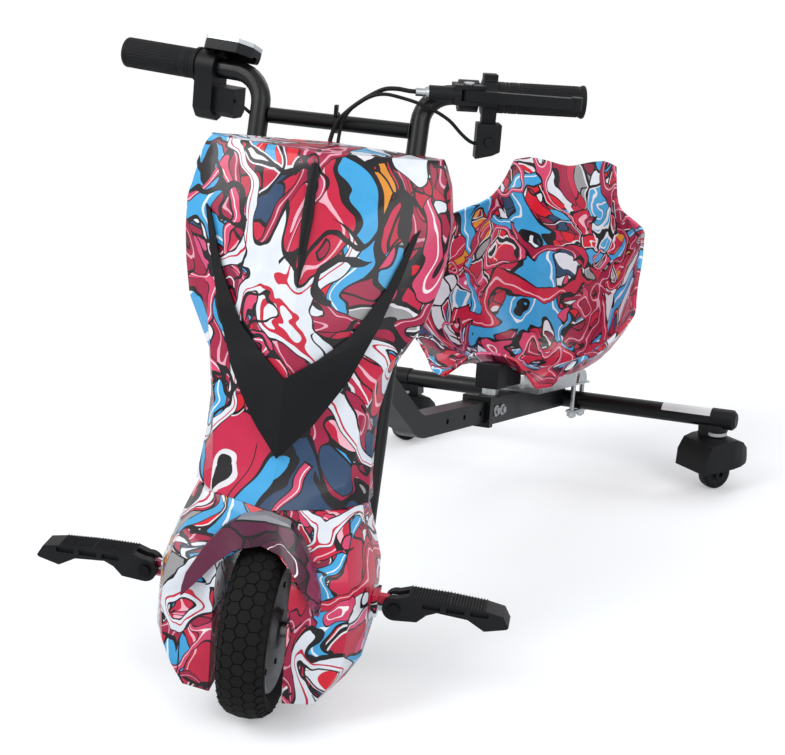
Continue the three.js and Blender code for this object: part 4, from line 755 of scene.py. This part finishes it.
def front_wheel():
    carcass = both_sides(TYRE_SECTION)
    tyre = turned("tyre_carcass", carcass, WHEEL, tyre_rubber, "front_wheel", 144, 60)
    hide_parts("front_tyre")
    grown("tyre_tread", TREAD_SIZES, tread_blocks, WHEEL, tyre_rubber, "front_wheel", 20)
    for which, (radius, reach) in SIDEWALL_BEADS.items():
        for side, word in ((-1, "right"), (1, "left")):
            ring = [
                (side * (reach + BEAD_ACROSS * math.cos(a)), radius + BEAD_UP * math.sin(a))
                for a in (math.pi * k / 4 for k in range(8))
            ]
            name = f"sidewall_bead_{which}_{word}"
            turned(name, ring, WHEEL, tyre_rubber, "front_wheel", 96)

    disc = both_sides(HUB_SECTION)
    hub = turned("hub_motor_case", disc, WHEEL, cast_aluminium, "front_wheel", 144, 35)
    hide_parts("hub_motor")
    grown("hub_cover_screws", SCREW_SIZES, hub_screws, WHEEL, dark_screw, "front_wheel")


# A handlebar half leaves its knee swept back and slightly up, and ends BAR_HALF mm out
BAR_SWEEP = math.radians(14.3)
BAR_RISE = math.radians(1.3)
BAR_KNEE = Vector((92, 243, 661.5))
BAR_HALF = 263
GRIP_PAST_BAR = 6.3


def bar_frame(side):
    """The frame of a handlebar half: X runs from the grip's outer end inward."""
    along = Vector((1, math.tan(BAR_SWEEP), math.tan(BAR_RISE))).normalized()
    end = BAR_KNEE + along * ((BAR_HALF - BAR_KNEE.x) / along.x)
    inward = Vector((along.x, -along.y, -along.z))
    place = Vector((-end.x, end.y, end.z)) - inward * GRIP_PAST_BAR
    turn = Vector((1, 0, 0)).rotation_difference(inward).to_matrix().to_4x4()
    flip = Matrix.Diagonal((1 if side < 0 else -1, 1, 1, 1))
    return STEERED @ flip @ Matrix.Translation(place * MM) @ turn


# A grip's sizes in mm, and its leaf's place and half width round the grip in radians
GRIP_LENGTH = 100.0
GRIP_RADIUS = 17.5
GRIP_BORE_RADIUS = 11.6
GRIP_END_WALL = 6.0
END_ROUND = 1.4
LIP_LENGTH = 4
FLANGE_RADIUS = 20.0
FLANGE_WIDTH = 4.2
GROOVES = (GRIP_LENGTH - 9, GRIP_LENGTH - 13, GRIP_LENGTH - 24, 6.5)
GROOVE_DEPTH, GROOVE_HALF = 0.7, 0.7
GRIP_RIBS = 30
RIB_DEPTH = 0.55
RIBS_FROM, RIBS_TO = 9, GRIP_LENGTH - 27
LEAF_FROM, LEAF_TO = 22, 74
LEAF_ANGLE = math.radians(200)
LEAF_HALF = 0.62
# The leaf's rim, in shares of its half width, and the vein that winds along it
RIM_AT, RIM_HALF, RIM_DEPTH = 0.93, 0.07, 0.55
VEIN_SWAY, VEIN_WAVE, VEIN_HALF, VEIN_DEPTH = 0.25, 9, 0.05, 0.35


def ribbed_grip(name, node, body, side, end_lip, flange):
    """A moulded grip: ribs along it, a smooth leaf on its front, grooves near the flange."""
    rounds, steps = 240, 132
    points, faces = [], []

    def relief(along, angle):
        if flange and along > GRIP_LENGTH - FLANGE_WIDTH:
            return FLANGE_RADIUS - GRIP_RADIUS
        if end_lip and along < LIP_LENGTH:
            return end_lip * math.sin(math.pi * min(1, (along + 0.6) / (LIP_LENGTH + 0.6))) ** 0.5
        drop = 0.0
        if along < END_ROUND:
            drop += END_ROUND - math.sqrt(max(0, END_ROUND**2 - (END_ROUND - along) ** 2))
        for groove in GROOVES:
            drop += GROOVE_DEPTH * math.exp(-(((along - groove) / GROOVE_HALF) ** 2))
        across = (angle - LEAF_ANGLE + math.pi) % (2 * math.pi) - math.pi
        share = (along - LEAF_FROM) / (LEAF_TO - LEAF_FROM)
        reach = LEAF_HALF * math.sin(math.pi * min(1, max(0, share))) + 1e-6
        if LEAF_FROM < along < LEAF_TO and abs(across) < reach:
            rim = abs(across) / reach
            middle = VEIN_SWAY * reach * math.sin((along - LEAF_FROM) / VEIN_WAVE)
            vein = abs(across - middle)
            drop += RIM_DEPTH * math.exp(-(((rim - RIM_AT) / RIM_HALF) ** 2))
            return -drop - VEIN_DEPTH * math.exp(-((vein / VEIN_HALF) ** 2))
        if RIBS_FROM < along < RIBS_TO:
            drop += RIB_DEPTH * max(0, math.cos(GRIP_RIBS * angle)) ** 0.5
        return -drop

    for i in range(steps + 1):
        along = GRIP_LENGTH * i / steps
        for k in range(rounds):
            angle = 2 * math.pi * k / rounds
            radius = GRIP_RADIUS + relief(along, angle)
            points.append((along, radius * math.cos(angle), radius * math.sin(angle)))
    for i in range(steps):
        for k in range(rounds):
            m = (k + 1) % rounds
            here, there = i * rounds, (i + 1) * rounds
            faces.append((here + k, here + m, there + m, there + k))
    inner = len(points)
    for along in (GRIP_LENGTH, GRIP_END_WALL):
        for k in range(rounds):
            angle = 2 * math.pi * k / rounds
            y, z = GRIP_BORE_RADIUS * math.cos(angle), GRIP_BORE_RADIUS * math.sin(angle)
            points.append((along, y, z))
    points += [(GRIP_END_WALL, 0, 0), (0, 0, 0)]
    hollow, cap = len(points) - 2, len(points) - 1
    for k in range(rounds):
        m = (k + 1) % rounds
        faces.append((steps * rounds + k, steps * rounds + m, inner + m, inner + k))
        faces.append((inner + k, inner + m, inner + rounds + m, inner + rounds + k))
        faces.append((inner + rounds + k, inner + rounds + m, hollow))
        faces.append((k, m, cap))
    made = shaped(name, points, faces, bar_frame(side), grip_rubber, body, 50)
    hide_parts(node)


# Each run of ridges on a peg: how many, the first one's place in mm, and the rise to the next
PEG_RIDGES = {"inner": (14, (157.0, 37, 149.9), -0.03), "outer": (12, (204.0, 37, 149.2), -0.2)}
RIDGE_SIZES = {"Ridge radius": 2.0, "Peg width": 27.0, "Pitch": 3.3}


def peg_ridges(tree, given):
    """A row of small three-sided ridges across a foot peg."""
    sizes = {"Vertices": 3, "Radius": given["Ridge radius"], "Depth": given["Peg width"]}
    ridge = add(tree, "GeometryNodeMeshCylinder", sizes)[0]
    lying = {"Geometry": ridge, "Rotation": (math.pi / 2, math.radians(-90), 0)}
    laid = add(tree, "GeometryNodeTransform", lying)[0]
    step = add(tree, "ShaderNodeCombineXYZ", {0: given["Pitch"], 2: given["Rise"]})[0]
    spots = add(tree, "GeometryNodeMeshLine", {"Count": given["Count"], "Offset": step})[0]
    return add(tree, "GeometryNodeInstanceOnPoints", {"Points": spots, "Instance": laid})[0]


def foot_grip():
    """Small ridges across the top of each foot peg, for grip."""
    for side, word in ((1, "left"), (-1, "right")):
        flip = Matrix.Diagonal((side, 1, 1, 1))
        for run, (count, start, rise) in PEG_RIDGES.items():
            made = grown(
                f"peg_ridges_{run}_{word}",
                {"Count": count, **RIDGE_SIZES, "Rise": rise},
                peg_ridges,
                STEERED @ flip @ Matrix.Translation(Vector(start) * MM),
                nylon_black,
                "peg_" + word,
                20,
            )
            if side < 0:
                made.data.flip_normals()


# Each cord's diameter, how it lies, and its route in mm in the straight-ahead drawing. Each starts
# inside the piece that it comes out of.
CABLE_ROUTES = {
    "brake_cable": (
        5.0,
        "taut",
        [(89, 218, 665.7), (80, 215.2, 665.7), (66, 212, 667), (52, 212, 665), (32, 213, 653)]
        + [(12, 215, 636), (1, 215, 622), (-4, 213, 606), (-5, 208, 594), (-5, 197, 582)],
    ),
    "switch_lead": (
        4.0,
        "loose",
        [(160, 243, 611), (150, 240.5, 614), (140, 237, 621.5), (124, 230, 637), (98, 217, 651)]
        + [(72, 207, 658.5), (54, 205, 660.5), (40, 205, 657), (18, 208, 641), (8, 212, 624)]
        + [(5, 211, 606), (5, 207, 594), (4, 196, 582)],
    ),
    "throttle_cable": (
        4.0,
        "loose",
        [(-130, 250, 630), (-119, 240, 627), (-111, 236.5, 623), (-104, 238, 617.5)]
        + [(-98, 246, 610), (-95, 258, 600), (-93, 262, 585)],
    ),
}


def route_through(points, steps):
    """A centripetal Catmull-Rom curve through the route's points."""
    spots = [Vector(p) for p in points]
    spots = [2 * spots[0] - spots[1], *spots, 2 * spots[-1] - spots[-2]]
    line = []
    for i in range(1, len(spots) - 2):
        a, b, c, d = spots[i - 1 : i + 3]
        t1 = max(1e-4, (b - a).length ** 0.5)
        t2 = t1 + max(1e-4, (c - b).length ** 0.5)
        t3 = t2 + max(1e-4, (d - c).length ** 0.5)
        for k in range(steps):
            t = t1 + (t2 - t1) * k / steps
            a1 = a * ((t1 - t) / t1) + b * (t / t1)
            a2 = b * ((t2 - t) / (t2 - t1)) + c * ((t - t1) / (t2 - t1))
            a3 = c * ((t3 - t) / (t3 - t2)) + d * ((t - t2) / (t3 - t2))
            b1 = a1 * ((t2 - t) / t2) + a2 * (t / t2)
            b2 = a2 * ((t3 - t) / (t3 - t1)) + a3 * ((t - t1) / (t3 - t1))
            line.append(b1 * ((t2 - t) / (t2 - t1)) + b2 * ((t - t1) / (t2 - t1)))
    line.append(spots[-2])
    return line


def tube_along(name, line, radius, material, body, count=16):
    """A round tube whose rings follow a line of row points in metres."""
    points, faces = [], []
    side = None
    for i, spot in enumerate(line):
        ahead = (line[min(i + 1, len(line) - 1)] - line[max(i - 1, 0)]).normalized()
        side = (side - ahead * side.dot(ahead)) if side else ahead.orthogonal()
        side.normalize()
        other = ahead.cross(side)
        for k in range(count):
            angle = 2 * math.pi * k / count
            out = side * math.cos(angle) + other * math.sin(angle)
            points.append((spot + out * radius) / MM)
    for i in range(len(line) - 1):
        for k in range(count):
            m = (k + 1) % count
            here, there = i * count, (i + 1) * count
            faces.append((here + k, here + m, there + m, there + k))
    last = (len(line) - 1) * count
    faces += [tuple(range(count)), tuple(range(last, last + count))]
    return shaped(name, points, faces, Matrix(), material, body, 50)


def cables():
    for node, (diameter, lay, points) in CABLE_ROUTES.items():
        line = [steered(*p) for p in route_through(points, 6)]
        made = tube_along(node + "_sheath", line, diameter / 2 * MM, cord_sheath, "steering")
        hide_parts(node)


# The middle of the cross tube's axis in mm, and how far out the casters' swivels are
CROSS_TUBE = Vector((6.78, 464.94, 112.0))
SWIVEL_REACH = 268
# The strip's ends along the tube, its outer and inner radius, and its span round it in degrees
STRIP_ENDS = (182, 262)
STRIP_FACES = (14.35, 14.06)
STRIP_FROM, STRIP_SPREAD = 62, 92


def blank_strip():
    """A bare white strip wrapped over the upper front of the cross tube."""
    points, faces = [], []
    steps = 14
    for depth in STRIP_FACES:
        for x in STRIP_ENDS:
            for k in range(steps + 1):
                angle = math.radians(STRIP_FROM + STRIP_SPREAD * k / steps)
                points.append((x, depth * math.cos(angle), depth * math.sin(angle)))
    row = steps + 1
    for k in range(steps):
        faces.append((k, k + 1, row + k + 1, row + k))
        faces.append((2 * row + k, 3 * row + k, 3 * row + k + 1, 2 * row + k + 1))
        faces.append((k, 2 * row + k, 2 * row + k + 1, k + 1))
        faces.append((row + k, row + k + 1, 3 * row + k + 1, 3 * row + k))
    faces.append((0, row, 3 * row, 2 * row))
    faces.append((steps, 2 * row + steps, 3 * row + steps, row + steps))
    place = Matrix.Translation(CROSS_TUBE * MM)
    shaped("cross_tube_strip", points, faces, place, white_vinyl, "rear_frame")


# Each caster wheel's side, axle direction at rest, and centre in metres
CASTER_WHEELS = [
    (1, "left", (0.829038, -0.559193, 0), (0.27366, 0.46328, 0.025)),
    (-1, "right", (0.866025, -0.5, 0), (-0.26222, 0.46321, 0.025)),
]


# The right half of a caster wheel's section (place across, radius) and the swivel spacer's section
# (height, radius), in mm
CASTER_SECTION = [
    *[(0, 24.9), (4, 24.8), (8, 24.1), (10.2, 22.4), (10.9, 20), (10.9, 16.6), (9.6, 15.4)],
    *[(9.6, 9.4), (10.8, 8.2), (10.8, 4.3)],
]
SPACER_SECTION = [
    *[(86.2, 12.7), (91.4, 12.7), (91.9, 13.4)],
    *[(91.4, 15.2), (86.6, 15.2), (86.0, 14.4)],
]


def caster_details():
    for side, word, spin, spot in CASTER_WHEELS:
        turn = Vector((1, 0, 0)).rotation_difference(Vector(spin)).to_matrix().to_4x4()
        place = Matrix.Translation(Vector(spot)) @ turn
        wheel = both_sides(CASTER_SECTION)
        body = "small_wheel_" + word
        made = turned("small_wheel_tread_" + word, wheel, place, caster_tread, body, 64)
        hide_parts("caster_wheel_" + word)
        swivel = Vector((CROSS_TUBE.x + side * SWIVEL_REACH, CROSS_TUBE.y, 0)) * MM
        upright = Matrix.Translation(swivel) @ Matrix.Rotation(math.radians(-90), 4, "Y")
        turned("swivel_spacer_" + word, SPACER_SECTION, upright, pale_nylon, "rear_frame", 48)


# Studio

WHITE = (1, 1, 1, 1)
WORLD_LIGHT = 0.62
FLOOR_GLOW = 0.22
FLOOR_RADIUS = 60
# The floor turns to plain white between these distances from the middle, in metres
FLOOR_FADE = (0.75, 1.5)
AIM = Vector((0, -0.1, 0.3))
# Each lamp's place and width in metres, and its power in watts
SOFTBOXES = [
    ("key_softbox", (-1.6, -2.6, 3.0), 2.4, 78),
    ("fill_softbox", (2.6, -1.6, 1.9), 2.2, 34),
    ("rear_softbox", (0.6, 2.8, 2.6), 2.0, 34),
]


def studio():
    world = bpy.data.worlds.new("studio")
    bpy.context.scene.world = world
    world.use_nodes = True
    tree = world.node_tree
    tree.nodes.clear()
    path = add(tree, "ShaderNodeLightPath")
    rays = {0: path["Is Glossy Ray"], 1: path["Is Transmission Ray"]}
    mirrored = add(tree, MATH, rays, operation="MAXIMUM")[0]
    rays = {0: path["Is Camera Ray"], 1: mirrored}
    seen = add(tree, MATH, rays, operation="MAXIMUM")[0]
    sky = {"Color": linear("f4f6f8"), "Strength": WORLD_LIGHT}
    light = add(tree, "ShaderNodeBackground", sky)[0]
    backdrop = add(tree, "ShaderNodeBackground", {"Color": WHITE, "Strength": 1.0})[0]
    mixed = add(tree, "ShaderNodeMixShader", {0: seen, 1: light, 2: backdrop})[0]
    add(tree, "ShaderNodeOutputWorld", {"Surface": mixed})

    floor_material, tree = blank_material("white_studio_floor")
    camera_ray = add(tree, "ShaderNodeLightPath")["Is Camera Ray"]
    paper = {"Color": linear("eceef0"), "Roughness": 0.4}
    paper = add(tree, "ShaderNodeBsdfDiffuse", paper)[0]
    glow = add(tree, "ShaderNodeEmission", {"Color": WHITE, "Strength": FLOOR_GLOW})[0]
    unseen = add(tree, "ShaderNodeEmission", {"Color": WHITE, "Strength": 0.0})[0]
    lift = add(tree, "ShaderNodeMixShader", {0: camera_ray, 1: unseen, 2: glow})[0]
    both = add(tree, "ShaderNodeAddShader", {0: paper, 1: lift})[0]
    spot = add(tree, "ShaderNodeTexCoord")["Object"]
    away = add(tree, VECTOR, {0: spot}, operation="LENGTH")["Value"]
    fade = {"Value": away, "From Min": FLOOR_FADE[0], "From Max": FLOOR_FADE[1]}
    far = add(tree, "ShaderNodeMapRange", fade, interpolation_type="SMOOTHSTEP")["Result"]
    blend = add(tree, MATH, {0: far, 1: camera_ray}, operation="MULTIPLY")[0]
    white = add(tree, "ShaderNodeEmission", {"Color": WHITE, "Strength": 1.0})[0]
    faded = add(tree, "ShaderNodeMixShader", {0: blend, 1: both, 2: white})[0]
    add(tree, "ShaderNodeOutputMaterial", {"Surface": faded})
    form = bmesh.new()
    bmesh.ops.create_circle(form, cap_ends=True, segments=96, radius=FLOOR_RADIUS)
    mesh = bpy.data.meshes.new("studio_floor")
    form.to_mesh(mesh)
    form.free()
    mesh.materials.append(floor_material)
    floor = plain_object("studio_floor", mesh)

    for name, place, size, power in SOFTBOXES:
        data = bpy.data.lights.new(name, "AREA")
        data.shape = "DISK"
        data.size = size
        data.energy = power
        lamp = bpy.data.objects.new(name, data)
        lamp.location = place
        lamp.rotation_euler = (AIM - Vector(place)).to_track_quat("-Z", "Y").to_euler()
        bpy.context.collection.objects.link(lamp)


photograph_camera()
cables()
for node_name, choices in FINISHES.items():
    softened(node_name, *choices)
front_wheel()
ribbed_grip("throttle_grip_rubber", "throttle_grip", "throttle", -1, 0, True)
ribbed_grip("fixed_grip_rubber", "fixed_grip", "steering", 1, 1.2, False)
foot_grip()
blank_strip()
caster_details()
studio()

bpy.context.scene.view_settings.view_transform = "Standard"
